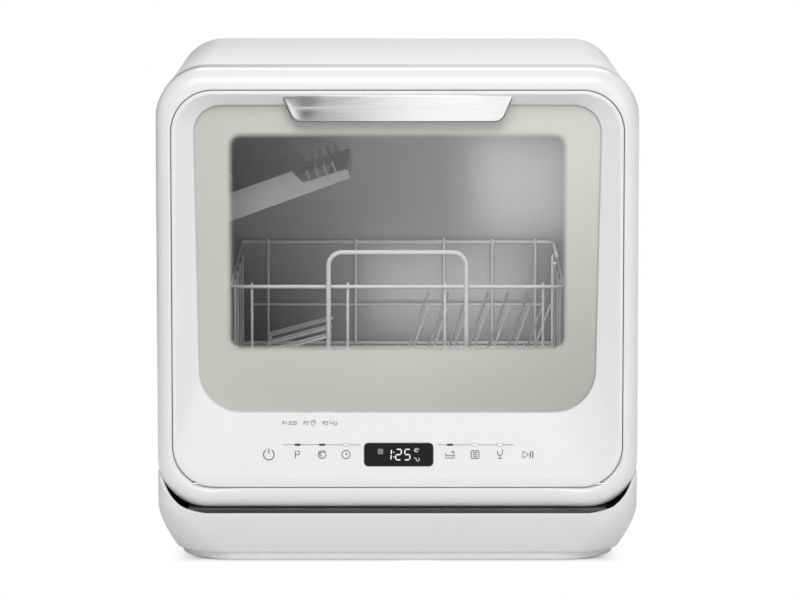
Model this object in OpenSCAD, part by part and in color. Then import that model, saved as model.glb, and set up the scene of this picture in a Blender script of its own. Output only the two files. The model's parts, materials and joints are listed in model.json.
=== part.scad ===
// Countertop dishwasher: drop-down glass door, wire rack and fold-up cup shelf.
// Millimetres. Z is up, the door faces -Y, X runs to the right of someone facing the door.
// The origin is the middle of the underside of the overall box.

/* [Body] */
// Overall width
body_w = 420; // [410:1:440]
// Overall depth
body_d = 435; // [430:1:460]
// Overall height
body_h = 435; // [432:1:460]
// Corner radius of the body seen from the front
body_r = 44; // [40:1:48]
// Radius of the rolled front edge of the frame
edge_roll = 17; // [12:1:20]
// Depth of the front frame
frame_d = 50; // [49:1:56]
// Thickness of moulded plastic walls
wall = 2.5; // [2:0.1:3]
// Thickness of the painted sheet cover
sheet = 1.2; // [0.8:0.1:2]
// How far the frame stands proud of the sheet cover
cover_step = 1; // [0.5:0.1:2]
// Depth of the moulded rear panel
rear_d = 16; // [14:1:22]

/* [Base] */
// Height of the base at its middle
base_h = 42; // [38:1:46]
// Height of the dark gap between base and body
shadow_gap = 7; // [5:0.5:9]
// Height at which the base reaches its full width
base_full_z = 50; // [46:1:56]
// How far the base draws in from there to the plinth
base_draft = 15; // [8:1:20]
// Height of the plinth under the base
plinth_h = 8; // [6:0.5:10]
// How far the plinth stands back from the base
plinth_step = 2; // [1:0.5:4]
// Corner radius of the cradle that holds the body
cradle_r = 40; // [36:1:44]
// Side clearance between cradle and body
cradle_gap = 1; // [0.5:0.1:2]
// Depth of the dark chassis pan behind the body's outline
pan_inset = 5; // [4:0.5:8]

/* [Door] */
// Width of the frame beside the door
stile = 14; // [13:0.5:18]
// Height of the frame above and below the door
rail = 19.5; // [17:0.5:22]
// Gap between door and frame
seam = 0.8; // [0.6:0.1:1.2]
// Corner radius of the door
door_r = 36; // [33:1:40]
// Distance of the hinge axis from the door's front and from its bottom edge
hinge_inset = 2.6; // [2.4:0.1:2.8]
// Chamfer round the door opening of the frame
mouth_chamfer = 3; // [3:0.1:3.5]
// Radius of the hinge pins
pin_r = 1.5; // [1:0.1:1.6]
// Running clearance round the hinge pins
pin_gap = 0.08; // [0.05:0.01:0.1]
// Depth of the outer door moulding
bezel_d = 30; // [28:1:32]
// Depth of the inner door liner behind it
liner_d = 14; // [12:1:16]
// Land between the door's edge and its basin at the sides and the top
basin_land = 3; // [2.8:0.1:4]
// Land between the door's edge and its basin at the bottom
basin_foot = 8.5; // [7:0.5:10]
// Depth of the basin that holds the glass
basin_d = 12; // [10:0.5:13]

/* [Glass] */
// Width of the glass at its top corners
glass_w = 354; // [340:1:358]
// How much narrower the glass is at its lower corners
glass_taper = 8; // [0:1:14]
// Distance of the glass from the top of the door
glass_top = 13.5; // [12:0.5:18]
// Height of the control slope under the glass
slope_h = 56; // [50:1:64]
// Upper corner radius of the glass
glass_rt = 24; // [18:1:28]
// Lower corner radius of the glass
glass_rb = 37; // [30:1:42]
// Thickness of the outer glass
glass_t = 3.2; // [3:0.1:4]
// Thickness of the printed mask behind the glass
mask_t = 0.5; // [0.4:0.1:0.8]
// Gap round the glass
glass_gap = 0.5; // [0.3:0.1:0.8]
// Width of the clear window
window_w = 291; // [270:1:300]
// Distance of the window from the bottom of the glass
window_foot = 57; // [50:1:64]
// Distance of the window from the top of the glass
window_top = 26; // [24:1:32]
// Corner radius of the window
window_r = 10; // [6:1:16]
// Thickness of the inner pane
pane_t = 3; // [2.5:0.5:4]

/* [Handle] */
// Width of the handle along its top
handle_w = 198; // [160:2:220]
// Height of the handle
handle_h = 22.4; // [20:0.2:26]
// How much narrower the handle is at its lower edge on each side
handle_cut = 11; // [6:1:14]
// Wall of the handle's folded plate
handle_t = 2; // [1.6:0.1:2.5]

/* [Tub] */
// Inner width of the tub
tub_w = 332; // [326:1:338]
// Room between the tub's inside and the back of the body
tub_back = 51; // [46:1:56]
// Height of the tub floor over the table
tub_z = 116; // [114:1:120]
// Room between the tub's inside and the top of the body
tub_roof = 45; // [43:1:49]
// Corner radius of the tub
tub_r = 26; // [20:1:30]
// Wall of the tub
tub_t = 1.6; // [1.2:0.1:2.5]
// Height of the rack ledges over the tub floor
ledge_z = 22; // [20:1:24]
// Width of the rack ledges
ledge_w = 13; // [11:1:14]

/* [Rack] */
// Outer width of the dish rack
rack_w = 296; // [290:1:300]
// Room in the tub before the dish rack
rack_front_gap = 28; // [27:1:32]
// Room in the tub behind the dish rack
rack_back_gap = 9; // [8:1:14]
// Wire of the floor, fence and loops
wire = 2.4; // [2:0.2:3]
// Wire of the rack's front rail
rail_wire = 3.4; // [3:0.2:4]
// Wire of the front handle loop
loop_wire = 4.2; // [3.6:0.2:5]
// Height of the rack fence over its floor
fence_h = 97; // [90:1:104]
// Height of the front rail over the floor
front_rail_h = 89; // [80:1:92]
// Width of the front handle loop
loop_w = 122; // [100:2:140]
// Height of the front handle loop over the floor
loop_h = 120; // [108:1:124]
// Number of plate tines in a row
tine_count = 7; // [5:1:8]
// Spacing of the plate tines
tine_pitch = 18.3; // [16:0.1:19]
// Height of the plate tines
tine_h = 62; // [50:1:66]
// Lean of the plate tines
tine_lean = 20; // [10:1:24]
// Number of cup loops
cup_count = 3; // [2:1:4]

/* [Shelf] */
// Width of the cup shelf from its hinge to its inner edge
shelf_w = 124; // [110:1:128]
// Depth of the cup shelf
shelf_d = 210; // [180:2:230]
// Resting tilt of the cup shelf
shelf_tilt = 20; // [14:1:24]
// Distance of the shelf hinge under the top of the tub
shelf_drop = 98; // [94:1:104]
// Height of the shelf's lip
shelf_lip = 21; // [16:1:24]

/* [Water] */
// Radius of the lower spray arm's sweep
arm_r = 128; // [110:1:140]
// Radius of the ceiling sprinkler
sprinkler_r = 54; // [40:1:58]
// Radius of the inlet's threaded end
inlet_r = 13.2; // [12:0.1:14]
// Outer radius of the drain spout
drain_r = 9; // [8:0.5:11]
// Radius of the filter cup
filter_r = 32; // [28:1:34]

/* [Hidden] */

// Smoothness of round parts
$fn = 64;
// Small overlap that keeps cuts clean
eps = 0.02;
// Air left between neighbours that don't touch
air = 0.3;

// The door and its opening
front_y = -body_d / 2;
back_y = body_d / 2;
body_z = base_h + shadow_gap;
panel_h = body_h - body_z;
door_w = body_w - 2 * stile;
door_h = panel_h - 2 * rail;
door_z = body_z + rail;
door_mid = door_z + door_h / 2;
door_top = door_z + door_h;
door_d = bezel_d + liner_d;
axis_y = front_y + hinge_inset;
axis_z = door_z + hinge_inset;

// The basin, the slope and the glass in the door
rim_w = door_w - 2 * basin_land;
rim_r = door_r - basin_land;
rim_z0 = door_z + basin_foot;
rim_z1 = door_top - basin_land;
glass_z1 = door_top - glass_top;
glass_z0 = rim_z0 + slope_h;
slope_a = atan(basin_d / slope_h);
slope_len = norm([basin_d, slope_h]);
window_z1 = glass_z1 - window_top;
window_h = window_z1 - glass_z0 - window_foot;
window_mid = window_z1 - window_h / 2;

// The tub
tub_d = body_d - frame_d - tub_back;
tub_h = body_h - tub_z - tub_roof;
tub_y0 = front_y + frame_d;
tub_mid_y = tub_y0 + tub_d / 2;
tub_mid_z = tub_z + tub_h / 2;
flange_t = 2;
gasket_t = frame_d - flange_t - door_d - air;

// White, grey and metal tones of the parts
white = [0.93, 0.93, 0.93];
shade = [0.85, 0.85, 0.84];
dark = [0.13, 0.14, 0.15];
steel = [0.74, 0.75, 0.76];
grey = [0.55, 0.57, 0.58];

// Rounded rectangle in the plane, centred, with true arcs
module round_rect(w, h, r) {
    square([w - 2 * r, h], center = true);
    square([w, h - 2 * r], center = true);
    for (sx = [-1, 1], sy = [-1, 1])
        translate([sx * (w / 2 - r), sy * (h / 2 - r)]) circle(r);
}

// Stands a shape that lies on its back upright: its face is the front plane of the body,
// its own Y is the height and its own -Z is the depth behind the front plane
module stand() {
    translate([0, front_y, 0]) rotate([90, 0, 0]) children();
}

// A prism behind the front plane from one depth to another
module slab(d0, d1) {
    translate([0, 0, -d1]) linear_extrude(d1 - d0) children();
}

// Carries a profile round a rounded rectangle: its x counts from the corner's centre, its y is Z
module rim_sweep(w, h, r) {
    for (k = [0:3]) {
        half_a = (k % 2 == 0 ? w : h) / 2 - r;
        half_b = (k % 2 == 0 ? h : w) / 2 - r;
        rotate([0, 0, 90 * k]) translate([half_a, half_b, 0]) {
            rotate([90, 0, 0]) linear_extrude(2 * half_b) children();
            rotate_extrude(angle = 90) children();
        }
    }
}

// A rounded block of depth d behind its face, its front edge rolled with radius e
module rolled_block(w, h, r, d, e) {
    slab(0, d) round_rect(w - 2 * e, h - 2 * e, r - e);
    slab(e, d) round_rect(w, h, r);
    rim_sweep(w, h, r) translate([r - e, -e]) intersection() {
        circle(e);
        square(e + 1);
    }
}

// A cutter that chamfers the front edge of a rounded opening
module mouth_cutter(w, h, r, c) {
    rim_sweep(w, h, r) polygon([[r - 1, 1], [r + c + 1, 1], [r + c, 0], [r, -c], [r - 1, -c]]);
}

// Inward draw of the base at height z, zero at its full width
function draw_in(z) = z >= base_full_z ? 0
    : base_draft * pow((base_full_z - z) / (base_full_z - plinth_h), 1.5);
base_r = 34;
base_foot_r = base_r - base_draft;
base_levels = 9;
cradle_w = body_w + 2 * cradle_gap;

// Section of the base's wall from z0 up: its outer side draws in, its inner side follows one wall further in
module base_section(z0, z1) {
    zs = [for (i = [0:base_levels]) z0 + (base_full_z - z0) * i / base_levels];
    polygon(concat(
        [for (z = zs) [base_r - draw_in(z), z]], [[base_r, z1], [base_r - wall, z1]],
        [for (i = [base_levels:-1:0]) [base_r - wall - draw_in(zs[i]), zs[i]]]
    ));
}

module base_tray() color(shade) {
    boss_x = body_w / 2 - 70;
    boss_y = body_d / 2 - 70;
    difference() {
        rim_sweep(body_w, body_d, base_r) base_section(plinth_h, base_h + cradle_r);
        stand_cut();
    }
    translate([0, 0, plinth_h]) linear_extrude(wall)
        round_rect(body_w - 2 * base_draft - 2, body_d - 2 * base_draft - 2, base_foot_r - 1);
    for (sx = [-1, 1], sy = [-1, 1]) translate([sx * boss_x, sy * boss_y, plinth_h + wall / 2])
        cylinder(r = 9, h = pan_z - plinth_h - wall / 2);
}

// The rounded channel along Y that the body lies in
module stand_cut() {
    translate([0, body_d / 2 + 1, base_h + body_h / 2]) rotate([90, 0, 0])
        linear_extrude(body_d + 2) round_rect(cradle_w, body_h, cradle_r);
}

pan_z = body_z - 4.5;
pan_air = 0.5;
pan_rim_z = body_z + 26;

module plinth() color(shade) difference() {
    d = base_draft + plinth_step;
    r = base_foot_r - plinth_step;
    translate([0, 0, pad_h / 2]) linear_extrude(plinth_h - pad_h / 2)
        round_rect(body_w - 2 * d, body_d - 2 * d, r);
    translate([0, 0, -1]) linear_extrude(plinth_h - wall + 1)
        round_rect(body_w - 2 * d - 2 * wall, body_d - 2 * d - 2 * wall, r - wall);
}

pad_h = 3;
pad_r = 11;

module foot_pads() color(dark) {
    reach = body_w / 2 - base_draft - 34;
    for (sx = [-1, 1], sy = [-1, 1])
        translate([sx * reach, sy * (reach + (body_d - body_w) / 2), 0]) {
            cylinder(r = pad_r, h = pad_h);
            cylinder(r = pad_r - 3, h = plinth_h - wall);
        }
}

// Dark pan that closes the body underneath and shows in the gap over the base
module chassis_pan() color(dark) {
    w = body_w - 2 * pan_inset;
    r = body_r - pan_inset;
    difference() {
        stand() translate([0, pan_z + body_h / 2, 0]) slab(pan_inset + 1, body_d - rear_d - air)
            round_rect(w, body_h, r);
        stand() translate([0, pan_z + wall + body_h / 2, 0])
            slab(frame_d + pan_air + wall, body_d - rear_d - air - wall)
            round_rect(w - 2 * wall, body_h, r - wall);
        translate([0, 0, pan_rim_z + body_h / 2]) cube([body_w, body_d, body_h], center = true);
        recess_block(wall + air, 0);
        stand() translate([0, body_z - pan_air + body_h / 2, 0]) slab(0, frame_d + pan_air)
            square([body_w, body_h], center = true);
    }
}

// Moulded front frame with a rolled outer edge, hollow from behind
module front_frame() color(white) {
    mouth_w = door_w + 2 * seam;
    mouth_h = door_h + 2 * seam;
    mouth_r = door_r + seam;
    boss = pin_r + 2.5;
    skin = wall - 0.8;
    difference() {
        union() {
            stand() translate([0, door_mid, 0]) {
                difference() {
                    rolled_block(body_w, panel_h, body_r, frame_d, edge_roll);
                    translate([0, 0, -wall]) rolled_block(body_w - 2 * wall, panel_h - 2 * wall,
                        body_r - wall, frame_d, edge_roll - wall);
                }
                slab(skin, frame_d - flange_t)
                    round_rect(mouth_w + 2 * wall, mouth_h + 2 * wall, mouth_r + wall);
            }
            for (s = [-1, 1]) translate([s * (pin_x1 - 8), front_y + skin + boss, axis_z])
                cube([16, 2 * boss, 2 * boss], center = true);
        }
        stand() translate([0, door_mid, 0]) {
            slab(-1, frame_d + 1) round_rect(mouth_w, mouth_h, mouth_r);
            mouth_cutter(mouth_w, mouth_h, mouth_r, mouth_chamfer);
        }
        for (s = [-1, 1]) translate([s * (pin_x1 - seat_l / 2), axis_y, axis_z]) rotate([0, 90, 0])
            cylinder(r = pin_r + pin_gap / 2, h = seat_l, center = true);
    }
}

// The hinge pins lie along X in the lower corners, between door and frame
pin_x0 = door_w / 2 - door_r - 10;
pin_x1 = door_w / 2 - 8;
seat_l = 30;

module pin_at(side, r, extra) {
    x0 = side > 0 ? pin_x0 - extra : -pin_x1;
    translate([x0, axis_y, axis_z]) rotate([0, 90, 0]) cylinder(r = r, h = pin_x1 - pin_x0 + extra);
}

module hinge_pins() color(steel) for (s = [-1, 1]) pin_at(s, pin_r, 0);

// Painted sheet cover over the top and both sides
module cabinet_cover() color(white) difference() {
    w = body_w - 2 * cover_step;
    h = panel_h - 2 * cover_step;
    r = body_r - cover_step;
    stand() translate([0, door_mid, 0]) difference() {
        slab(frame_d, body_d - rear_d) round_rect(w, h, r);
        slab(frame_d - 1, body_d - rear_d + 1) round_rect(w - 2 * sheet, h - 2 * sheet, r - sheet);
    }
    translate([0, 0, pan_rim_z + air - body_h / 2]) cube([body_w, body_d, body_h], center = true);
}

// Rear panel with rolled edges, a recess for the water connections and air slots
recess_w = 150;
recess_h = 52;
recess_d = 26;
recess_x = body_w / 2 - 120;
recess_z = body_z + 44;
slot_n = 9;
slot_pitch = 9;
slot_h = 3.5;
slot_w = 110;
slot_z = door_top - 147;

module rear_panel() color(shade) {
    difference() {
        union() {
            difference() {
                turn_back() rolled_block(body_w - 2 * cover_step, panel_h - 2 * cover_step,
                    body_r - cover_step, rear_d, rear_d - 6);
                turn_back() translate([0, 0, -wall]) rolled_block(body_w - 2 * (cover_step + wall),
                    panel_h - 2 * (cover_step + wall), body_r - cover_step - wall, rear_d,
                    rear_d - 6 - wall);
            }
            recess_block(wall, 0);
        }
        recess_block(0, 1);
        for (i = [0:slot_n - 1], s = [-1, 1])
            translate([s * (slot_w / 2 + 14), back_y, slot_z + (i - (slot_n - 1) / 2) * slot_pitch])
                cube([slot_w, 4 * wall, slot_h], center = true);
        for (p = rear_screw_points) translate([p.x, back_y - rear_d, p.y]) rotate([-90, 0, 0])
            cylinder(r = screw_r, h = rear_d + 1);
        at_recess() {
            translate([inlet_x, 0, 0]) cylinder(r = inlet_r - shank_step + air, h = recess_d, center = true);
            translate([spout_x, 0, 0]) cylinder(r = drain_r - shank_step + air, h = recess_d, center = true);
            translate([gland_x, 0, 0]) cylinder(r = gland_r + air, h = recess_d, center = true);
        }
    }
}

// Puts a block that lies on its back onto the rear: its face is the back plane
module turn_back() {
    translate([0, back_y, door_mid]) rotate([90, 0, 180]) children();
}

module recess_block(grow, out) {
    translate([recess_x - recess_w / 2 - grow, back_y - recess_d - grow, recess_z - recess_h / 2 - grow])
        cube([recess_w + 2 * grow, recess_d + grow + out, recess_h + 2 * grow]);
}

// The recess floor, Z pointing backwards
module at_recess() {
    translate([recess_x, back_y - recess_d, recess_z]) rotate([-90, 0, 0]) children();
}

screw_r = 2.2;
inlet_x = -40;
spout_x = 4;
gland_x = 48;
gland_r = 6;
rear_screw_points = [
    for (sx = [-1, 1], z = [body_z + 24, door_mid, body_h - 24]) [sx * (body_w / 2 - 30), z]
];

module rear_screws() color(steel) for (p = rear_screw_points)
    translate([p.x, back_y, p.y]) rotate([90, 0, 0]) difference() {
        union() {
            translate([0, 0, -1.6]) cylinder(r = 3.8, h = 1.6);
            translate([0, 0, -0.1]) cylinder(r = screw_r - 0.2, h = 12);
        }
        for (a = [0, 90]) rotate([0, 0, a]) translate([0, 0, -1.6]) cube([5, 0.9, 1.6], center = true);
    }

// Stainless tub, open at the front, with rack ledges, sump mouth and flange
hub_r = 17;
filter_x = 84;
filter_y = tub_mid_y - 84;

module tub() color(steel) {
    w = tub_w + 2 * tub_t;
    h = tub_h + 2 * tub_t;
    r = tub_r + tub_t;
    difference() {
        stand() {
            translate([0, tub_mid_z, 0]) slab(frame_d, frame_d + tub_d + tub_t) round_rect(w, h, r);
            translate([0, door_mid, 0]) slab(frame_d - flange_t, frame_d)
                round_rect(door_w + 2 * (seam + wall), door_h + 2 * (seam + wall), door_r + seam + wall);
        }
        stand() translate([0, tub_mid_z, 0]) slab(frame_d - flange_t - 1, frame_d + tub_d)
            round_rect(tub_w, tub_h, tub_r);
        translate([0, tub_mid_y, tub_z - 9]) cylinder(r = hub_r, h = 20);
        translate([filter_x, filter_y, tub_z - 9]) cylinder(r = filter_r + air, h = 20);
        translate([sprinkler_x, tub_mid_y, tub_z + tub_h - 9]) cylinder(r = 7, h = 20);
        hook_mouth();
    }
    for (s = [-1, 1]) translate([s * (tub_w / 2 - ledge_w / 2 + eps), tub_mid_y, ledge_top - 3])
        cube([ledge_w, tub_d - 20, 6], center = true);
}

ledge_top = tub_z + ledge_z;

// Soft seal on the tub's flange, with a round lip towards the door
module tub_gasket() color(dark) stand() translate([0, door_mid, 0]) {
    w = door_w - 12;
    h = door_h - 12;
    r = door_r - 6;
    lip = gasket_t / 2;
    rim_sweep(w, h, r) {
        translate([r - 7, -(frame_d - flange_t)]) square([7, gasket_t / 2]);
        translate([r - 3.5, -(frame_d - flange_t - lip)]) circle(lip);
    }
}

// Catch plate in the flange for the door's latch hook
hook_z = door_top - 20;
hook_w = 12;
hook_slot = [hook_w + 4, 4, 6.2];

// Slot in flange and plate that lets the hook in
module hook_mouth() {
    translate([0, front_y + frame_d, hook_z + 0.9]) cube(hook_slot + [0, 3, 0], center = true);
}

module door_strike() color(steel) difference() {
    translate([-22, front_y + frame_d, hook_z - 3.5]) cube([44, 2, 9.5]);
    hook_mouth();
    for (s = [-1, 1]) translate([s * 15, front_y + frame_d, hook_z + 1.2]) rotate([-90, 0, 0])
        cylinder(r = 1.6, h = 9, center = true);
}

// Outline of the glass, grown by g: wider at the top, with bigger lower corners
module glass_outline(g) hull() for (s = [-1, 1]) {
    translate([s * (glass_w / 2 - glass_rt), glass_z1 - glass_rt]) circle(glass_rt + g);
    translate([s * ((glass_w - glass_taper) / 2 - glass_rb), glass_z0 + glass_rb]) circle(glass_rb + g);
}

module window_outline(g) {
    translate([0, window_mid]) round_rect(window_w + 2 * g, window_h + 2 * g, window_r + g);
}

// Lofted basin from the door's rim back to the glass; its long lower side is the control slope
module basin() hull() {
    slab(-1, 0) translate([0, (rim_z0 + rim_z1) / 2]) round_rect(rim_w, rim_z1 - rim_z0, rim_r);
    slab(basin_d, basin_d + eps) glass_outline(glass_gap);
}

seat_d = basin_d + glass_t + mask_t;
plate_d = seat_d + wall;
slope_room_w = glass_w - 2 * glass_rb;
screw_pts = [for (sx = [-1, 1], sz = [-1, 1]) [sx * (door_w / 2 - 22), door_mid + sz * (door_h / 2 - 22)]];

module door_bezel() color(white) difference() {
    stand() {
        difference() {
            translate([0, door_mid, 0]) rolled_block(door_w, door_h, door_r, bezel_d, hinge_inset);
            basin();
            slab(basin_d - 1, seat_d) glass_outline(glass_gap);
            slab(seat_d - 1, plate_d + 1) window_outline(tunnel_in);
            translate([0, door_mid, 0]) slab(plate_d, bezel_d + 1)
                round_rect(door_w - 2 * wall, door_h - 2 * wall, door_r - wall);
            for (p = screw_pts) translate([p.x, p.y, -bezel_d - 1]) cylinder(r = 1.3, h = 18);
        }
        for (p = screw_pts) translate([p.x, p.y, -bezel_d]) difference() {
            cylinder(r = 3.6, h = bezel_d - plate_d + 1);
            translate([0, 0, -1]) cylinder(r = 1.3, h = bezel_d - plate_d + 1);
        }
    }
    slope_room();
    on_slope(display_x, display_s) cube([display_w, display_h, 2 * display_t], center = true);
    for (s = [-1, 1]) pin_at(s, pin_r + pin_gap, 1);
}

// Hollow behind the control slope for the touch board, with one wall left in front of it
module slope_room() {
    z0 = rim_z0 + 5;
    z1 = glass_z0 - 4;
    skin = wall / cos(slope_a);
    y0 = front_y + skin + (z0 - rim_z0) * tan(slope_a);
    y1 = front_y + skin + (z1 - rim_z0) * tan(slope_a);
    y2 = front_y + plate_d + eps;
    rotate([90, 0, 90]) linear_extrude(slope_room_w, center = true)
        polygon([[y0, z0], [y1, z1], [y2, z1], [y2, z0]]);
}

// A place on the control slope: x across, s up from its lower edge, Z pointing out of it
module on_slope(x, s) {
    translate([x, front_y + s * sin(slope_a), rim_z0 + s * cos(slope_a)])
        rotate([90 - slope_a, 0, 0]) children();
}

display_x = 1;
display_s = 20;
display_w = 60;
display_h = 20;
display_t = 1;

module display_window() color(dark) on_slope(display_x, display_s)
    translate([0, 0, -display_t]) linear_extrude(display_t) round_rect(display_w, display_h, 3.4);

board_t = 1.6;
pad_t = 0.8;

module touch_board() color([0.1, 0.35, 0.2]) on_slope(0, slope_len / 2)
    translate([0, 0, -wall - pad_t - board_t / 2 - 0.2]) {
        cube([slope_room_w - 6, slope_len - 16, board_t], center = true);
        for (i = [-3:3]) translate([i * 24, -6, board_t / 2]) cylinder(r = 6, h = pad_t);
    }

module door_glass() color([0.7, 0.75, 0.76, 0.4]) stand() slab(basin_d, basin_d + glass_t) glass_outline(0);

// Opaque print behind the glass, clear over the window
module glass_mask() color([0.78, 0.78, 0.76]) stand() slab(basin_d + glass_t, seat_d) difference() {
    glass_outline(0);
    window_outline(0);
}

tunnel_in = 6;
tunnel_t = 4;
liner_skin = 1.5;
pane_d = door_d - liner_skin - pane_t;

module window_tunnel() color(dark) stand() slab(plate_d, pane_d) difference() {
    window_outline(tunnel_in + tunnel_t);
    window_outline(tunnel_in);
}

module inner_pane() color([0.7, 0.75, 0.76, 0.4]) stand() slab(pane_d, pane_d + pane_t)
    window_outline(tunnel_in + tunnel_t + 1);

// Inner door skin with a raised middle, window, dispenser mouth and hook slot
module door_liner() color(steel) {
    step_in = 3;
    w = door_w - 2;
    h = door_h - 2;
    r = door_r - 1;
    difference() {
        stand() {
            translate([0, door_mid, 0]) difference() {
                union() {
                    slab(bezel_d, door_d - step_in) round_rect(w, h, r);
                    slab(bezel_d, door_d) round_rect(w - 2 * step_in, h - 2 * step_in, r - step_in);
                }
                slab(bezel_d - 1, door_d - liner_skin)
                    round_rect(w - 2 * (step_in + liner_skin), h - 2 * (step_in + liner_skin),
                        r - step_in - liner_skin);
            }
        }
        stand() slab(door_d - liner_skin - 1, door_d + 1) window_outline(tunnel_in);
        at_dispenser(0) cube([disp_w - 8, disp_h - 8, 10], center = true);
        for (p = screw_pts) translate([p.x, front_y + door_d + 1, p.y]) rotate([90, 0, 0])
            cylinder(r = 1.6, h = 4);
    }
}

module door_screws() color(steel) for (p = screw_pts)
    translate([p.x, front_y + door_d, p.y]) rotate([90, 0, 0]) {
        translate([0, 0, -1.2]) cylinder(r = 3, h = 1.2);
        translate([0, 0, -0.1]) cylinder(r = 1.2, h = 20);
    }

// Steel hook on the door that enters the catch plate
module latch_hook() color(steel) translate([-hook_w / 2, front_y + door_d, hook_z - 1.5]) {
    cube([hook_w, 9, 2]);
    translate([0, 7.4, 0]) cube([hook_w, 1.6, 3.4]);
    translate([-6, 0, -4]) cube([hook_w + 12, 1.4, 9]);
}

// Folded metal handle: a flat face that stands off the glass, open below for the fingers
handle_face = 1;
handle_z1 = rim_z1 - 1.2;
handle_z0 = handle_z1 - handle_h;

module handle_outline(inset, drop) hull() for (s = [-1, 1]) {
    translate([s * (handle_w / 2 - 1.5 - inset), handle_z1 - 1.5 - inset]) circle(1.5);
    translate([s * (handle_w / 2 - handle_cut - 8), handle_z0 + 8 - drop]) circle(8 - inset);
}

module handle() color([0.82, 0.82, 0.83]) difference() {
    stand() difference() {
        slab(handle_face, basin_d - air) handle_outline(0, 0);
        slab(handle_face + handle_t, basin_d) intersection() {
            handle_outline(handle_t, 16);
            translate([0, handle_z0 - 6]) square([handle_w, 2 * handle_h - 4], center = true);
        }
    }
    rotate([90, 0, 90]) linear_extrude(body_w, center = true) polygon([
        [front_y - 1, rim_z1 + (rim_z1 - glass_z1) / basin_d], [front_y + basin_d, glass_z1],
        [front_y + basin_d, rim_z1 + 9], [front_y - 1, rim_z1 + 9]
    ]);
}

// Detergent dispenser in the liner below the window; its lid slides sideways
disp_w = 132;
disp_h = 66;
disp_x = -40;
disp_z = door_z + 78;
disp_cup = 52;
lid_w = 56;
lid_t = 2;
lid_travel = 50;

// The liner's inner face at the dispenser, Z pointing into the tub
module at_dispenser(x) {
    translate([disp_x + x, front_y + door_d, disp_z]) rotate([-90, 0, 0]) children();
}

module dispenser() color(grey) at_dispenser(0) difference() {
    union() {
        linear_extrude(1.5) round_rect(disp_w, disp_h, 6);
        translate([0, 0, -12]) linear_extrude(12.5) round_rect(disp_w - 12, disp_h - 12, 5);
        for (s = [-1, 1]) translate([0, s * (lid_h / 2 + 2.2), 3]) cube([disp_w - 10, 3, 4], center = true);
    }
    translate([-disp_w / 4 + 2, 0, -10]) linear_extrude(14) round_rect(disp_cup - 4, disp_cup - 12, 5);
    translate([disp_w / 4 + 4, 0, -10]) cylinder(r = 11, h = 14);
}

lid_h = disp_h - 18;

module dispenser_lid() color(shade) at_dispenser(-disp_w / 4 + 2) difference() {
    translate([0, 0, 1.5 + air]) linear_extrude(lid_t) round_rect(lid_w, lid_h, 3);
    for (i = [-2:2]) translate([16 + i * 3, 0, 1.5 + air + lid_t]) cube([1, lid_h - 16, 1], center = true);
}

// The rack: its floor wires lie at rack_z and it glides on the tub's ledges
rack_z = ledge_top + 9;
rack_d = tub_d - rack_front_gap - rack_back_gap;
rack_y0 = tub_y0 + rack_front_gap;
rack_mid_y = rack_y0 + rack_d / 2;
rack_r = 9;
fence_tilt = atan((fence_h - front_rail_h) / rack_d);
wr = wire / 2;
rr = rail_wire / 2;

// A closed wire loop, rounded at its corners, in the plane z = 0
module wire_loop(w, d, r_bend, r) {
    rim_sweep(w, d, r_bend) translate([r_bend, 0]) circle(r, $fn = 16);
}

// A wire bent up at both ends: a bar of width w at height h, legs down to z = 0
module wire_arch(w, h, r_bend, r) {
    for (s = [-1, 1]) {
        translate([s * w / 2, 0, 0]) cylinder(r = r, h = h - r_bend, $fn = 16);
        translate([s * (w / 2 - r_bend), 0, h - r_bend]) rotate([90, s > 0 ? 0 : -90, 0])
            rotate_extrude(angle = 90) translate([r_bend, 0]) circle(r, $fn = 16);
    }
    translate([r_bend - w / 2, 0, h]) rotate([0, 90, 0]) cylinder(r = r, h = w - 2 * r_bend, $fn = 16);
}

// Tops of the long and of the cross wires of the floor
long_top = wr - rr;
cross_top = 2.7 * wr - rr;
weld = 0.15;

floor_long = [for (i = [-4:4]) i * (rack_w - 2 * rack_r) / 9.2];
cross_pitch = (rack_d - 2 * rack_r) / 7.2;
floor_cross = [for (i = [-3:3]) i * cross_pitch];

module rack_floor() color(white) translate([0, rack_mid_y, rack_z]) {
    wire_loop(rack_w, rack_d, rack_r, rr);
    for (x = floor_long) translate([x, rack_d / 2, -rr]) rotate([90, 0, 0])
        cylinder(r = wr, h = rack_d, $fn = 12);
    for (y = floor_cross) translate([-rack_w / 2, y, -rr + 1.7 * wr]) rotate([0, 90, 0])
        cylinder(r = wr, h = rack_w, $fn = 12);
}

// Posts round the rack with a rail on the front and sides and two more at the back;
// their places count in widths and depths of the rack from its middle
front_posts = [-0.436, -0.149, 0.142, 0.436];
back_posts = [-0.416, -0.135, 0.149, 0.304, 0.443];
side_posts = [-0.337, -0.118, 0.118, 0.337];
back_rails = [fence_h - 60, fence_h - 30];

// One side of the rail round the rack, with the bend at its far end: 0 right, 1 back, 2 left, 3 front
module rail_side(k) translate([0, rack_mid_y, rack_z + (front_rail_h + fence_h) / 2])
    rotate([fence_tilt, 0, 0]) rotate([0, 0, 90 * k]) {
        half_a = (k % 2 == 0 ? rack_w : rack_d) / 2 - rack_r;
        half_b = (k % 2 == 0 ? rack_d : rack_w) / 2 - rack_r;
        translate([half_a, half_b, 0]) {
            translate([rack_r, 0, 0]) rotate([90, 0, 0]) cylinder(r = rr, h = 2 * half_b, $fn = 16);
            rotate_extrude(angle = 90) translate([rack_r, 0]) circle(rr, $fn = 16);
        }
    }

module fence_post(x, y, h) translate([x, rack_mid_y + y, rack_z + rr]) cylinder(r = wr, h = h, $fn = 16);

post_in = wr + 0.6 * rr;

module rack_front() color(white) {
    rail_side(3);
    for (x = front_posts) fence_post(x * rack_w, post_in - rack_d / 2, front_rail_h + 1.5);
}

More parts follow.
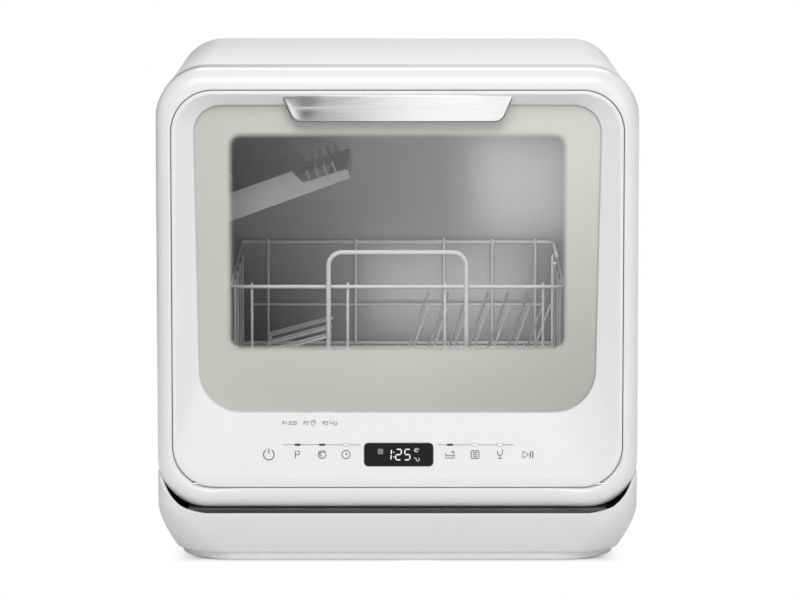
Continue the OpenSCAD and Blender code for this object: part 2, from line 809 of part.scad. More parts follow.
module rack_back() color(white) {
    rail_side(1);
    for (x = back_posts) fence_post(x * rack_w, rack_d / 2 - post_in, fence_h + 2.5);
    for (z = back_rails) translate([0, rack_mid_y + rack_d / 2 - wr, rack_z + z]) rotate([0, 90, 0])
        cylinder(r = wr, h = rack_w - 2 * rack_r, center = true, $fn = 16);
}

module rack_side(s) {
    rail_side(s > 0 ? 0 : 2);
    for (y = side_posts) fence_post(s * (rack_w / 2 - post_in), y * rack_d, front_rail_h - rr);
}

module rack_left() color(white) rack_side(-1);

module rack_right() color(white) rack_side(1);

module rack_loop() color(white) translate([0, rack_y0 - rr - 0.9 * loop_wire / 2, rack_z - rr])
    wire_arch(loop_w, loop_h + rr, 12, loop_wire / 2);

// Two rows of leaning tines on the right of the rack
tine_rows = [11.5 - 2 * cross_pitch, cross_pitch - 16.75];
tine_x0 = 6;

module plate_tines() color(white) translate([0, rack_mid_y, rack_z + long_top + weld]) {
    run = (tine_count - 1) * tine_pitch;
    for (y = tine_rows) translate([tine_x0, y, wr]) {
        translate([-8, 0, 0]) rotate([0, 90, 0]) cylinder(r = wr, h = run + 16, $fn = 16);
        for (i = [0:tine_count - 1]) translate([i * tine_pitch, 0, 0]) rotate([0, tine_lean, 0])
            cylinder(r = wr, h = tine_h / cos(tine_lean), $fn = 16);
    }
}

// Hairpin loops on the left that rise towards the middle and hold cups
cup_pitch = 62;
cup_gap = 20;
cup_run = 58;
cup_rise = 15;
cup_x0 = -118;

module cup_loops() color(white) translate([cup_x0, rack_mid_y, rack_z + cross_top + weld + wr]) {
    translate([0, -20, 0]) rotate([90, 0, 0])
        cylinder(r = wr, h = (cup_count - 1) * cup_pitch + cup_gap + 16, center = true, $fn = 16);
    for (i = [0:cup_count - 1]) translate([0, (i - (cup_count - 1) / 2) * cup_pitch - 20, 0]) {
        for (s = [-1, 1]) translate([0, s * cup_gap / 2, 0]) cylinder(r = wr, h = 19, $fn = 16);
        translate([0, 0, 19]) rotate([0, -cup_rise, 0]) {
            for (s = [-1, 1]) translate([-wr, s * cup_gap / 2, 0]) rotate([0, 90, 0])
                cylinder(r = wr, h = cup_run + wr, $fn = 16);
            translate([cup_run, 0, 0]) rotate([0, 0, -90]) rotate_extrude(angle = 180)
                translate([cup_gap / 2, 0]) circle(wr, $fn = 16);
        }
    }
}

// Four glides that carry the rack on the tub's ledges
glide_w = 14;
glide_l = 26;
glide_out = 4;
glide_y = 57;

module rack_feet() color(grey) for (sx = [-1, 1], sy = [-1, 1])
    translate([sx * rack_w / 2, rack_mid_y + sy * glide_y, 0]) difference() {
        glide_h = rack_z + rr + 2 - ledge_top - air;
        translate([sx * glide_out, 0, ledge_top + air + glide_h / 2]) cube([glide_w, glide_l, glide_h], center = true);
        translate([0, 0, rack_z]) rotate([90, 0, 0]) cylinder(r = rr + eps, h = glide_l + 2, center = true);
    }

// Fold-up shelf for cups and cutlery on the left wall
shelf_x = -tub_w / 2 + 7;
shelf_front_gap = 36;
shelf_mid_y = tub_y0 + shelf_front_gap + shelf_d / 2;
shelf_z = tub_h - shelf_drop;
shelf_pin = 2;
shelf_knuckle = 5;
shelf_t = 2.4;
lip_run = 0.62;

// The shelf's own frame: X from its hinge towards the middle, Z out of its floor
module on_shelf() {
    translate([shelf_x, shelf_mid_y, tub_z + shelf_z]) rotate([0, -shelf_tilt, 0]) children();
}

module cup_shelf() color(grey) on_shelf() {
    ribs = 9;
    difference() {
        union() {
            rotate([90, 0, 0]) cylinder(r = shelf_knuckle, h = shelf_d - 24, center = true);
            translate([0, -shelf_d / 2, -shelf_t]) cube([shelf_w, shelf_d, shelf_t]);
            for (s = [-1, 1]) translate([0, s * (shelf_d / 2 - shelf_t / 2), 0]) {
                rotate([90, 0, 0]) linear_extrude(shelf_t, center = true) polygon([
                    [shelf_knuckle + 4.6, -shelf_t], [shelf_w, -shelf_t], [shelf_w, 6],
                    [shelf_w * lip_run + 6, 8], [shelf_w * lip_run, shelf_lip],
                    [shelf_knuckle + 4.6, shelf_lip]
                ]);
            }
            translate([shelf_w - shelf_t, -shelf_d / 2, -shelf_t]) cube([shelf_t, shelf_d, 8]);
            for (s = [-1, 1], i = [0:3])
                translate([shelf_w * lip_run + 12 + i * 8, s * (shelf_d / 2 - 10), -eps])
                    cylinder(r = 1.3, h = 16, $fn = 16);
        }
        rotate([90, 0, 0]) cylinder(r = shelf_pin + 0.06, h = shelf_d, center = true);
        for (s = [-1, 1]) translate([0, s * (shelf_d / 2 - 4), 0]) cube([2 * shelf_knuckle + 5, 18, 30], center = true);
        for (i = [-ribs / 2 + 0.5:ribs / 2 - 0.5], x = [0.34, 0.7])
            translate([shelf_w * x, i * (shelf_d - 24) / ribs, -shelf_t / 2])
                cube([shelf_w * 0.28, (shelf_d - 24) / ribs - 5, 2 * shelf_t], center = true);
    }
}

// Wall brackets with the pins that carry the shelf
module shelf_brackets() color(grey) for (s = [-1, 1])
    translate([shelf_x, shelf_mid_y + s * (shelf_d / 2 - 4), tub_z + shelf_z]) {
        rotate([90, 0, 0]) cylinder(r = shelf_knuckle, h = 6, center = true);
        translate([-3.4, 0, 0]) cube([7 - air / 10, 6, 2 * shelf_knuckle], center = true);
        translate([-6.2, 0, 0]) cube([1.6, 14, 26], center = true);
        translate([0, -s * 10, 0]) rotate([90, 0, 0]) cylinder(r = shelf_pin, h = 20, center = true);
    }

// Lower spray arm on its hub
arm_z = tub_z + 8;
arm_t = 8;

module spray_arm() color(shade) translate([0, tub_mid_y, arm_z]) difference() {
    union() {
        linear_extrude(arm_t) difference() {
            union() for (s = [-1, 1]) hull() {
                circle(15);
                translate([s * (arm_r - 9), 0]) circle(9);
            }
            circle(8.2);
        }
        difference() {
            cylinder(r = 13, h = arm_t + 1.5);
            translate([0, 0, -1]) cylinder(r = 8.2, h = arm_t + 3);
        }
    }
    for (s = [-1, 1], i = [0:4]) translate([s * (30 + i * 20), s * (i % 2 == 0 ? 3 : -3), arm_t - 3])
        cylinder(r = 1.3, h = 6, $fn = 16);
}

module arm_hub() color(grey) translate([0, tub_mid_y, tub_z - 14]) {
    difference() {
        union() {
            cylinder(r = hub_r - air, h = 14 + eps);
            translate([0, 0, 14]) cylinder(r = hub_r + 5, h = 2.5);
            cylinder(r = 8.1, h = arm_z - tub_z + 14 + arm_t + 2);
        }
        translate([0, 0, -1]) cylinder(r = 5.5, h = 30);
    }
    translate([0, 0, arm_z - tub_z + 14 + arm_t + 1.8]) cylinder(r = 10.5, h = 1.6);
}

// Small ceiling sprinkler that turns on the feed pipe's end
sprinkler_x = 30;
sprinkler_drop = 12;
sprinkler_t = 6;
sprinkler_z = tub_z + tub_h - sprinkler_drop;

module ceiling_sprinkler() color(grey) translate([sprinkler_x, tub_mid_y, sprinkler_z - sprinkler_t]) difference() {
    linear_extrude(sprinkler_t) for (a = [0, 120, 240]) rotate(a) hull() {
        circle(12);
        translate([sprinkler_r - 7, 0]) circle(7);
    }
    translate([0, 0, -1]) cylinder(r = 5.2, h = 9);
    for (a = [0, 120, 240], i = [0, 1]) rotate(a) translate([24 + 16 * i, 0, -1]) cylinder(r = 1.4, h = 4, $fn = 16);
}

module sprinkler_hub() color(steel) translate([sprinkler_x, tub_mid_y, sprinkler_z - sprinkler_t - air]) {
    roof = sprinkler_drop + sprinkler_t + air;
    collar = sprinkler_drop - 1;
    translate([0, 0, -1.8]) cylinder(r = 9, h = 1.8);
    cylinder(r = 5.1, h = roof + tub_t + 2 - air);
    translate([0, 0, roof - collar]) cylinder(r = 12, h = collar - 0.2);
}

// Filter cup with a bayonet rim and grip, and the fine mesh under it
module filter_cup() color(grey) translate([filter_x, filter_y, tub_z]) {
    difference() {
        union() {
            translate([0, 0, 0.2]) cylinder(r = filter_r + 4, h = 2.2);
            translate([0, 0, -24]) cylinder(r = filter_r - 6, h = 25);
        }
        translate([0, 0, -22]) cylinder(r = filter_r - 9, h = 40);
        for (a = [0:30:330]) rotate(a) translate([filter_r - 8, 0, -12]) cube([10, 5, 16], center = true);
    }
    translate([0, 0, 1]) cube([2 * filter_r - 16, 3, 8], center = true);
}

module filter_mesh() color(steel) translate([filter_x, filter_y, tub_z - 26]) difference() {
    cylinder(r = filter_r - 2, h = 25.8);
    translate([0, 0, 1.2]) cylinder(r = filter_r - 3.2, h = 30);
}

module tub_lamp() color([0.9, 0.93, 0.95]) translate([tub_w / 2 - 4, tub_y0 + 60, tub_z + tub_h - 50])
    rotate([0, 90, 0]) {
        translate([0, 0, 2]) linear_extrude(1.99) round_rect(16, 40, 5);
        translate([0, 0, 0.4]) linear_extrude(1.6) round_rect(12, 36, 4);
    }

// Water works between the tub and the chassis pan
sump_h = 34;
sump_z = tub_z - tub_t - sump_h;

module sump() color(dark) translate([0, 0, sump_z]) difference() {
    linear_extrude(sump_h) hull() {
        translate([0, tub_mid_y]) circle(hub_r + 6);
        translate([filter_x, filter_y]) circle(filter_r + 8);
    }
    translate([0, 0, wall]) linear_extrude(sump_h) hull() {
        translate([0, tub_mid_y]) circle(hub_r + 6 - wall);
        translate([filter_x, filter_y]) circle(filter_r + 8 - wall);
    }
}

pump_r = 26;
pump_l = 56;
pump_nose = 18;
pump_rib = 0.8;
pump_x = -96;
pump_y = -60;

module circulation_pump() color(grey)
    translate([pump_x, tub_mid_y + pump_y, pan_z + wall + pump_r + 1]) rotate([0, 90, 35]) {
        cylinder(r = pump_r, h = pump_l, center = true);
        translate([0, 0, pump_l / 2 - eps]) cylinder(r = pump_r - 4, h = pump_nose);
        for (i = [-2.5:2.5]) translate([0, 0, i * pump_l / 7]) cylinder(r = pump_r + pump_rib, h = 2, center = true);
    }

drain_pump_r = 20;
drain_pump_l = 60;
drain_head_r = 23;
drain_head_l = 18;
drain_pump_x = 118;
drain_pump_y = 86;

module drain_pump() color([0.3, 0.4, 0.5])
    translate([drain_pump_x, tub_mid_y + drain_pump_y, pan_z + wall + drain_head_r + air]) rotate([90, 0, 0]) {
        cylinder(r = drain_pump_r, h = drain_pump_l, center = true);
        translate([0, 0, 1 - (drain_pump_l + drain_head_l) / 2])
            cylinder(r = drain_head_r, h = drain_head_l, center = true);
    }

heater_r = 20;
heater_bore = 16;
heater_l = 96;
heater_clip = 1.7;
heater_x = -60;
heater_y = 70;

module heater_tube() color(steel)
    translate([heater_x, tub_mid_y + heater_y, pan_z + wall + heater_r + heater_clip + air]) rotate([0, 90, 0]) {
        difference() {
            cylinder(r = heater_r, h = heater_l, center = true);
            cylinder(r = heater_bore, h = heater_l + 4, center = true);
        }
        for (s = [-1, 1]) translate([0, 0, s * (heater_l / 2 - 2)])
            cylinder(r = heater_r + heater_clip, h = 5, center = true);
    }

// Pipe up the back of the tub that feeds the ceiling sprinkler
pipe_y = tub_y0 + tub_d + tub_t + 11;

module feed_pipe() color(grey) {
    r = 6;
    top_z = tub_z + tub_h + tub_t + 4 + r;
    translate([sprinkler_x, pipe_y, sump_z + 20]) cylinder(r = r, h = top_z - sump_z - 20 - 12);
    translate([sprinkler_x, pipe_y - 12, top_z - 12]) rotate([90, 0, 90])
        rotate_extrude(angle = 90) translate([12, 0]) circle(r);
    translate([sprinkler_x, tub_mid_y, top_z]) rotate([-90, 0, 0]) cylinder(r = r, h = pipe_y - 12 - tub_mid_y);
    translate([sprinkler_x, tub_mid_y, top_z]) sphere(r + 2);
}

module water_tank() color([0.8, 0.84, 0.86]) {
    t = body_w / 2 - cover_step - sheet - tub_w / 2 - tub_t - 2;
    x0 = -body_w / 2 + cover_step + sheet + air;
    difference() {
        translate([x0, tub_y0 + 8, tub_z + 6]) cube([t, tub_d - 30, tub_h - 60]);
        translate([x0 + wall, tub_y0 + 8 + wall, tub_z + 6 + wall])
            cube([t - 2 * wall, tub_d - 30 - 2 * wall, tub_h - 60 - 2 * wall]);
    }
    translate([x0 + t / 2, tub_mid_y, tub_z + tub_h - 54 - eps]) cylinder(r = 12, h = 14);
}

module water_inlet() color(shade) at_recess() translate([inlet_x, 0, 0]) difference() {
    union() {
        translate([0, 0, shank_z]) cylinder(r = inlet_r - shank_step, h = pin_base - shank_z + eps);
        translate([0, 0, pin_base]) cylinder(r = inlet_r, h = inlet_len);
        translate([0, 0, -wall - 2]) cylinder(r = inlet_r + 4, h = 2);
    }
    translate([0, 0, -20]) cylinder(r = 7, h = 60);
}

// Length of the connections, and the thinner shanks that hold them in the recess floor
inlet_len = 16;
spout_len = 20;
pin_base = 0.5;
shank_z = -8;
shank_step = 1;

module drain_spout() color(dark) at_recess() translate([spout_x, 0, 0]) difference() {
    union() {
        translate([0, 0, shank_z]) cylinder(r = drain_r - shank_step, h = pin_base - shank_z + eps);
        translate([0, 0, pin_base]) cylinder(r = drain_r, h = spout_len);
        translate([0, 0, -wall - 2]) cylinder(r = drain_r + 4, h = 2);
    }
    translate([0, 0, -20]) cylinder(r = drain_r - 2.5, h = 60);
}

module cable_gland() color(dark) at_recess() translate([gland_x, 0, 0]) difference() {
    union() {
        translate([0, 0, -8]) cylinder(r = gland_r, h = 14);
        cylinder(r = gland_r + 3, h = 3);
        translate([0, 0, -wall - 2]) cylinder(r = gland_r + 3, h = 2);
    }
    translate([0, 0, -20]) cylinder(r = 3.6, h = 60);
}

module inlet_valve() color(white) at_recess() translate([inlet_x, 0, -8]) {
    translate([0, 0, -9]) cube([22, 26, 18], center = true);
    translate([0, 18, -9]) cylinder(r = 9, h = 18, center = true);
}

fan_t = 7;
fan_w = 60;
fan_bore = fan_w / 2 - 3;
fan_hub = 10;

module drying_fan() color(dark) translate([0, back_y - wall - air - fan_t / 2, slot_z]) rotate([90, 0, 0]) {
    difference() {
        linear_extrude(fan_t, center = true) round_rect(fan_w, fan_w, 5);
        cylinder(r = fan_bore, h = 2 * fan_t, center = true);
    }
    cylinder(r = fan_hub, h = 5, center = true);
    for (a = [0:45:315]) rotate(a) translate([18, 0, 0]) rotate([35, 0, 0]) cube([17.5, 7, 1], center = true);
    for (a = [45, 225]) rotate(a) translate([18.5, 0, -2.8]) cube([18, 3, 1.4], center = true);
}

base_tray();
plinth();
foot_pads();
chassis_pan();
front_frame();
cabinet_cover();
rear_panel();
rear_screws();
tub();
tub_gasket();
hinge_pins();
door_strike();
door_bezel();
door_glass();
glass_mask();
inner_pane();
window_tunnel();
door_liner();
door_screws();
handle();
display_window();
touch_board();
latch_hook();
dispenser();
dispenser_lid();
rack_floor();
rack_front();
rack_back();
rack_left();
rack_right();
rack_loop();
plate_tines();
cup_loops();
rack_feet();
cup_shelf();
shelf_brackets();
spray_arm();
arm_hub();
ceiling_sprinkler();
sprinkler_hub();
filter_cup();
filter_mesh();
tub_lamp();
sump();
circulation_pump();
drain_pump();
heater_tube();
feed_pipe();
water_tank();
inlet_valve();
water_inlet();
drain_spout();
cable_gland();
drying_fan();
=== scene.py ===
"""Looks of a countertop dishwasher, worked out round its packed CAD frame.

All lengths are metres. X runs to the right, -Y towards the user and +Z up. A depth is counted backwards
from the front plane of the body, and an outline is a closed row of (x, z) points.
"""

import json
import math
from functools import partialmethod
from types import SimpleNamespace

import bmesh
import bpy
import numpy as np
from bpy.props import FloatProperty, FloatVectorProperty, PointerProperty
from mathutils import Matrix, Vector


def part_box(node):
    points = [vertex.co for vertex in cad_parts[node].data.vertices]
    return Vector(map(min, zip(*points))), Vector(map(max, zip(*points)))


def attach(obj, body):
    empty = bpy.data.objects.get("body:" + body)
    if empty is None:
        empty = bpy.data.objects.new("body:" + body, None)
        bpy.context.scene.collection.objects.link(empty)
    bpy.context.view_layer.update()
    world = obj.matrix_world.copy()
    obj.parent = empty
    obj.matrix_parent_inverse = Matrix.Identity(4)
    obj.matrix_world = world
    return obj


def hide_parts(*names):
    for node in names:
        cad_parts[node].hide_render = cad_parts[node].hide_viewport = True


bl_info = {
    "name": "Countertop Dishwasher",
    "version": (1, 0, 0),
    "blender": (4, 5, 0),
    "location": "View3D > Sidebar > Dishwasher",
    "description": "Builds the surfaces and finishes of a countertop dishwasher",
    "category": "Add Mesh",
}

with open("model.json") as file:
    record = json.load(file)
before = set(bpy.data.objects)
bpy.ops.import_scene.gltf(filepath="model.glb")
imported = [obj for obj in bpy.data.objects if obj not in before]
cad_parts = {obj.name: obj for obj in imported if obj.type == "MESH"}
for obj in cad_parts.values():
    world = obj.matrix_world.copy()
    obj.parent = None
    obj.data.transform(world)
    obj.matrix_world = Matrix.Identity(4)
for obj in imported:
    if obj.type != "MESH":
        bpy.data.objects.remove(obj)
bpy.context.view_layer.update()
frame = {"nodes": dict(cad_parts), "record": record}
MM = 0.001


def corners_of(node):
    """Lowest and highest corner of a CAD node as arrays."""
    low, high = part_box(node)
    return np.array(low), np.array(high)


BODY_LOW, BODY_HIGH = corners_of("front_frame")
DOOR_LOW, DOOR_HIGH = corners_of("door_bezel")
GLASS_LOW, GLASS_HIGH = corners_of("door_glass")
TUNNEL_LOW, TUNNEL_HIGH = corners_of("window_tunnel")
RACK_LOW, RACK_HIGH = corners_of("rack_floor")
TRAY_LOW, TRAY_HIGH = corners_of("base_tray")
PLINTH_LOW, PLINTH_HIGH = corners_of("plinth")
COVER_LOW, COVER_HIGH = corners_of("cabinet_cover")
HANDLE_LOW, HANDLE_HIGH = corners_of("handle")

FRONT_Y = BODY_LOW[1]
BODY_R = 44 * MM
EDGE_ROLL = 17 * MM
DOOR_R = 36 * MM
BEAD = 3 * MM
FOOT_LAND = 8.5 * MM
BASIN_D = GLASS_LOW[1] - FRONT_Y
SEAT_D = GLASS_HIGH[1] - FRONT_Y + 0.5 * MM
RIM_Z0 = DOOR_LOW[2] + FOOT_LAND
RIM_Z1 = DOOR_HIGH[2] - BEAD
SLOPE_RUN = GLASS_LOW[2] - RIM_Z0
SLOPE_A = math.atan2(BASIN_D, SLOPE_RUN)
TUNNEL_WALL = 10 * MM
BASE_BEND = 50 * MM
RACK_BEND = 9 * MM
ACROSS, BACK, UP = (1, 0, 0), (0, 1, 0), (0, 0, 1)


# Outlines and grids

def box_corners(low_x, high_x, low_z, high_z, r):
    """Centres and radii of a rounded rectangle's corners, counterclockwise from the lower right."""
    return np.array([(high_x - r, low_z + r, r), (high_x - r, high_z - r, r),
                     (low_x + r, high_z - r, r), (low_x + r, low_z + r, r)])


def outline(corners, grow=0.0, arc_n=14, side_n=12):
    """Closed outline round four circles: each arc turns from one common tangent's normal to the next.

    The outward normal n of a side is the direction with n.d = r0 - r1, d being the step between the
    centres; straight sides join the arcs' ends. A positive grow widens every radius.
    """
    centre, radius = corners[:, :2], corners[:, 2] + grow
    step = np.roll(centre, -1, axis=0) - centre
    length = np.hypot(step[:, 0], step[:, 1])
    normal = np.arctan2(step[:, 1], step[:, 0]) - np.arccos((radius - np.roll(radius, -1)) / length)
    start = np.roll(normal, 1)
    turn = np.mod(normal - start, 2 * np.pi)
    angle = start[:, None] + turn[:, None] * np.linspace(0, 1, arc_n)
    arcs = centre[:, None] + radius[:, None, None] * np.stack([np.cos(angle), np.sin(angle)], axis=2)
    share = (np.arange(1, side_n) / side_n)[None, :, None]
    ahead = np.roll(arcs[:, 0], -1, axis=0)
    sides = arcs[:, -1:] + share * (ahead - arcs[:, -1])[:, None]
    return np.concatenate([arcs, sides], axis=1).reshape(-1, 2)


def at_depth(points, depth):
    """Ring of 3-D points: the outline stands at a depth, one number or one for each point."""
    return np.column_stack([points[:, 0], np.broadcast_to(FRONT_Y + depth, len(points)), points[:, 1]])


def inside_distance(points, corners):
    """How far points lie inside a rounded rectangle: its signed distance with the sign turned."""
    high, low, r = corners[1, :2] + corners[1, 2], corners[3, :2] - corners[3, 2], corners[0, 2]
    q = np.abs(points - (high + low) / 2) - (high - low) / 2 + r
    return r - np.hypot(*np.maximum(q, 0).T) - np.minimum(q.max(axis=1), 0)


def loft(rings, closed=False):
    """Skin over rings with equal counts: quad (i, j) joins rings i and i+1 between points j and j+1."""
    rings = np.asarray(rings, float)
    count, n = rings.shape[:2]
    i = np.arange(count if closed else count - 1)[:, None]
    j = np.arange(n)[None, :]
    i1, j1 = (i + 1) % count, (j + 1) % n
    quads = np.stack([i * n + j, i * n + j1, i1 * n + j1, i1 * n + j], axis=2).reshape(-1, 4).tolist()
    if not closed:
        quads += [list(range(n))[::-1], list(range((count - 1) * n, count * n))]
    return rings.reshape(-1, 3), quads


def unit(v):
    return v / np.linalg.norm(v, axis=-1, keepdims=True)


def sweep(path, profile, normal, closed=False, scale=None):
    """Carries a flat profile (a, b) along a path that lies in the plane of one normal.

    With T the tangent and B the plane's normal, each profile point is path + s * (a * (B x T) + b * B).
    """
    path = np.asarray(path, float)
    ahead, behind = np.roll(path, -1, axis=0), np.roll(path, 1, axis=0)
    if not closed:
        ahead[-1], behind[0] = path[-1], path[0]
    tangent = unit(ahead - behind)
    up = unit(np.broadcast_to(np.asarray(normal, float), tangent.shape))
    side = unit(np.cross(up, tangent))
    lift = np.cross(tangent, side)
    s = np.ones(len(path)) if scale is None else scale
    rings = path[:, None] + s[:, None, None] * (
        profile[None, :, :1] * side[:, None] + profile[None, :, 1:] * lift[:, None])
    return loft(rings, closed=closed)


def circle_profile(r, sides=12):
    a = np.arange(sides) * 2 * np.pi / sides
    return np.column_stack([r * np.cos(a), r * np.sin(a)])


def rod(path, r, normal, sides=12):
    """Round wire along a path; its ends close in a half ball, radius r cos(t) at r sin(t) past the end."""
    path = np.asarray(path, float)
    t = np.linspace(0, np.pi / 2, 5)[1:]
    t[-1] = np.pi / 2 - 0.12
    head, tail = unit(path[0] - path[1]), unit(path[-1] - path[-2])
    scale = np.concatenate([np.cos(t)[::-1], np.ones(len(path)), np.cos(t)])
    path = np.vstack([(path[0] + head * r * np.sin(t)[:, None])[::-1], path,
                      path[-1] + tail * r * np.sin(t)[:, None]])
    return sweep(path, circle_profile(r, sides), normal, scale=scale)


def straight(first, last, r, normal):
    """Straight round wire; the normal is any direction across it."""
    first, last = np.asarray(first, float), np.asarray(last, float)
    return rod([first, (first + last) / 2, last], r, normal)


def bent(points, r, n):
    """Polyline with each inner corner rounded by an arc of radius r that is tangent to both sides."""
    points = np.asarray(points, float)
    rows = [points[:1]]
    for before, corner, after in zip(points[:-2], points[1:-1], points[2:]):
        u, v = unit(before - corner), unit(after - corner)
        half = math.acos(float(np.clip(u @ v, -1, 1))) / 2
        centre = corner + unit(u + v) * r / math.sin(half)
        a, b = corner + u * r / math.tan(half) - centre, corner + v * r / math.tan(half) - centre
        turn = math.pi - 2 * half
        t = np.linspace(0, 1, n)[:, None]
        rows.append(centre + (np.sin((1 - t) * turn) * a + np.sin(t * turn) * b) / math.sin(turn))
    rows.append(points[-1:])
    return np.vstack(rows)


def joined(parts):
    """Several (points, faces) pairs as one."""
    shift = np.cumsum([0] + [len(p) for p, _ in parts[:-1]])
    faces = [[v + int(k) for v in f] for k, (_, fs) in zip(shift, parts) for f in fs]
    return np.vstack([p for p, _ in parts]), faces


def ride(name, mesh, body, slot, replaces, finish, sharp):
    """Smooth object of a mesh that rides on a body; its finish is the slot's own unless one is named."""
    mesh.materials.clear()
    mesh.materials.append(finishes()[finish or slot])
    mesh.shade_smooth()
    mesh.set_sharp_from_angle(angle=math.radians(sharp))
    piece = bpy.data.objects.new(name, mesh)
    bpy.context.scene.collection.objects.link(piece)
    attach(piece, body)
    if replaces:
        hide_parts(*replaces)
    return piece


def place(name, part, body, slot, *replaces, finish=None, sharp=32):
    """Piece of points and faces, with its faces turned outwards."""
    points, faces = part
    mesh = bpy.data.meshes.new(name)
    mesh.from_pydata(points.tolist(), [], faces)
    work = bmesh.new()
    work.from_mesh(mesh)
    bmesh.ops.recalc_face_normals(work, faces=work.faces)
    work.to_mesh(mesh)
    work.free()
    return ride(name, mesh, body, slot, replaces, finish, sharp)


def refined(node, name, body, slot, bevel):
    """Smooth copy of a CAD node: doubles merged, flat facets dissolved into faces, edges rounded."""
    mesh = frame["nodes"][node].data.copy()
    work = bmesh.new()
    work.from_mesh(mesh)
    bmesh.ops.remove_doubles(work, verts=work.verts, dist=1e-6)
    bmesh.ops.dissolve_limit(work, angle_limit=math.radians(1), verts=work.verts, edges=work.edges)
    work.to_mesh(mesh)
    work.free()
    piece = ride(name, mesh, body, slot, [node], None, 30)
    if bevel:
        edge = piece.modifiers.new("Rounded edges", "BEVEL")
        edge.width, edge.segments, edge.limit_method = bevel, 2, "ANGLE"
        edge.angle_limit = math.radians(40)
        edge.harden_normals = True
        edge.use_clamp_overlap = True


# Shader groups

class Value:
    """Output of a shader node; arithmetic on it adds nodes to its tree."""

    def __init__(self, socket):
        self.socket = socket

    def apply(self, operation, *others, turned=False):
        """Math node on this value and others, or on the others and this value."""
        terms = (*others, self) if turned else (self, *others)
        return out(add(self.socket.id_data, "ShaderNodeMath", dict(enumerate(terms)), operation=operation))

    def remap(self, low, high, to_low, to_high, smooth=False):
        """Takes low..high to to_low..to_high and keeps to that range."""
        return out(add(self.socket.id_data, "ShaderNodeMapRange",
                       {0: self, 1: low, 2: high, 3: to_low, 4: to_high},
                       interpolation_type="SMOOTHSTEP" if smooth else "LINEAR"))

    __add__ = partialmethod(apply, "ADD")
    __sub__ = partialmethod(apply, "SUBTRACT")
    __rsub__ = partialmethod(apply, "SUBTRACT", turned=True)
    __mul__ = partialmethod(apply, "MULTIPLY")
    __truediv__ = partialmethod(apply, "DIVIDE")
    __pow__ = partialmethod(apply, "POWER")
    __abs__ = partialmethod(apply, "ABSOLUTE")
    larger = partialmethod(apply, "MAXIMUM")
    smaller = partialmethod(apply, "MINIMUM")
    below = partialmethod(apply, "LESS_THAN")
    root = partialmethod(apply, "SQRT")
    cosine = partialmethod(apply, "COSINE")


def out(node, key=0):
    return Value(node.outputs[key])


def connect(node, links):
    """Links a node's inputs to values, or sets them to plain constants."""
    for key, value in links.items():
        if isinstance(value, Value):
            node.id_data.links.new(value.socket, node.inputs[key])
        else:
            node.inputs[key].default_value = value


def add(tree, kind, links=None, **settings):
    """Adds a node; settings are its properties and links go to its inputs."""
    node = tree.nodes.new(kind)
    for key, value in settings.items():
        setattr(node, key, value)
    connect(node, links or {})
    return node


def noise(tree, where, scale, detail=2.0):
    return out(add(tree, "ShaderNodeTexNoise", {"Vector": where, "Scale": scale, "Detail": detail}))


def axes_of(vector):
    """The X, Y and Z of a vector."""
    return [Value(end) for end in add(vector.socket.id_data, "ShaderNodeSeparateXYZ", {0: vector}).outputs]


def blend_colours(tree, factor, first, second, kind="MIX"):
    links = {0: factor, 6: first, 7: second}
    return out(add(tree, "ShaderNodeMix", links, data_type="RGBA", blend_type=kind), 2)


def mix_shaders(tree, factor, first, second):
    return out(add(tree, "ShaderNodeMixShader", {0: factor, 1: out(first), 2: out(second)}))


def new_group(name, inputs, outputs):
    """Empty shader group with named sockets; returns it with its input values and its output node."""
    group = bpy.data.node_groups.new(name, "ShaderNodeTree")
    for label, kind, default in inputs:
        socket = group.interface.new_socket(label, in_out="INPUT", socket_type="NodeSocket" + kind)
        if default is not None:
            socket.default_value = default
    for label in outputs:
        kind = "NodeSocketColor" if label == "Colour" else "NodeSocketFloat"
        group.interface.new_socket(label, in_out="OUTPUT", socket_type=kind)
    given = group.nodes.new("NodeGroupInput")
    return group, [out(given, k) for k in range(len(inputs))], group.nodes.new("NodeGroupOutput")


def moulded_grain():
    """Orange peel of a moulded or sprayed skin: two noises make a height, a broad one moves the gloss."""
    group, (where, grains, roughness, spread), made = new_group(
        "Moulded Grain",
        [("Position", "Vector", None), ("Grains per metre", "Float", 900.0), ("Roughness", "Float", 0.3),
         ("Roughness spread", "Float", 0.06)], ["Height", "Roughness"])
    height = noise(group, where, grains) * 0.4 + noise(group, where, grains * 0.23)
    shift = (noise(group, where, 9.0, 3.0) - 0.5) * spread
    connect(made, {0: height, 1: roughness + shift})
    return group


def settled_dust():
    """Tints faces that look up with a thin uneven film, the rest with a faint broad mottle."""
    group, (where, plain, film, amount, mottle), made = new_group(
        "Settled Dust",
        [("Position", "Vector", None), ("Colour", "Color", None), ("Film", "Color", (0.7, 0.69, 0.66, 1)),
         ("Amount", "Float", 0.1), ("Mottle", "Float", 0.03)], ["Colour"])
    upward = axes_of(out(add(group, "ShaderNodeNewGeometry"), "Normal"))[2].remap(0.55, 1.0, 0.0, 1.0, True)
    darker = out(add(group, "ShaderNodeHueSaturation", {"Color": plain, "Value": 0.82}))
    toned = blend_colours(group, noise(group, where, 6.0) * mottle, plain, darker)
    connect(made, {0: blend_colours(group, upward * noise(group, where, 24.0, 5.0) * amount, toned, film)})
    return group


def brushed_lines():
    """Brushing: noise on a position stretched along one axis gives the height and the gloss of fine lines."""
    group, (where, roughness, spread), made = new_group(
        "Brushed Lines",
        [("Stretched position", "Vector", None), ("Roughness", "Float", 0.3),
         ("Roughness spread", "Float", 0.12)], ["Height", "Roughness", "Tone"])
    lines = noise(group, where, 1.0, 4.0)
    connect(made, {0: lines, 1: roughness + (lines - 0.5) * spread, 2: lines.remap(0.3, 0.7, 0.93, 1.05)})
    return group


GROUPS = {}


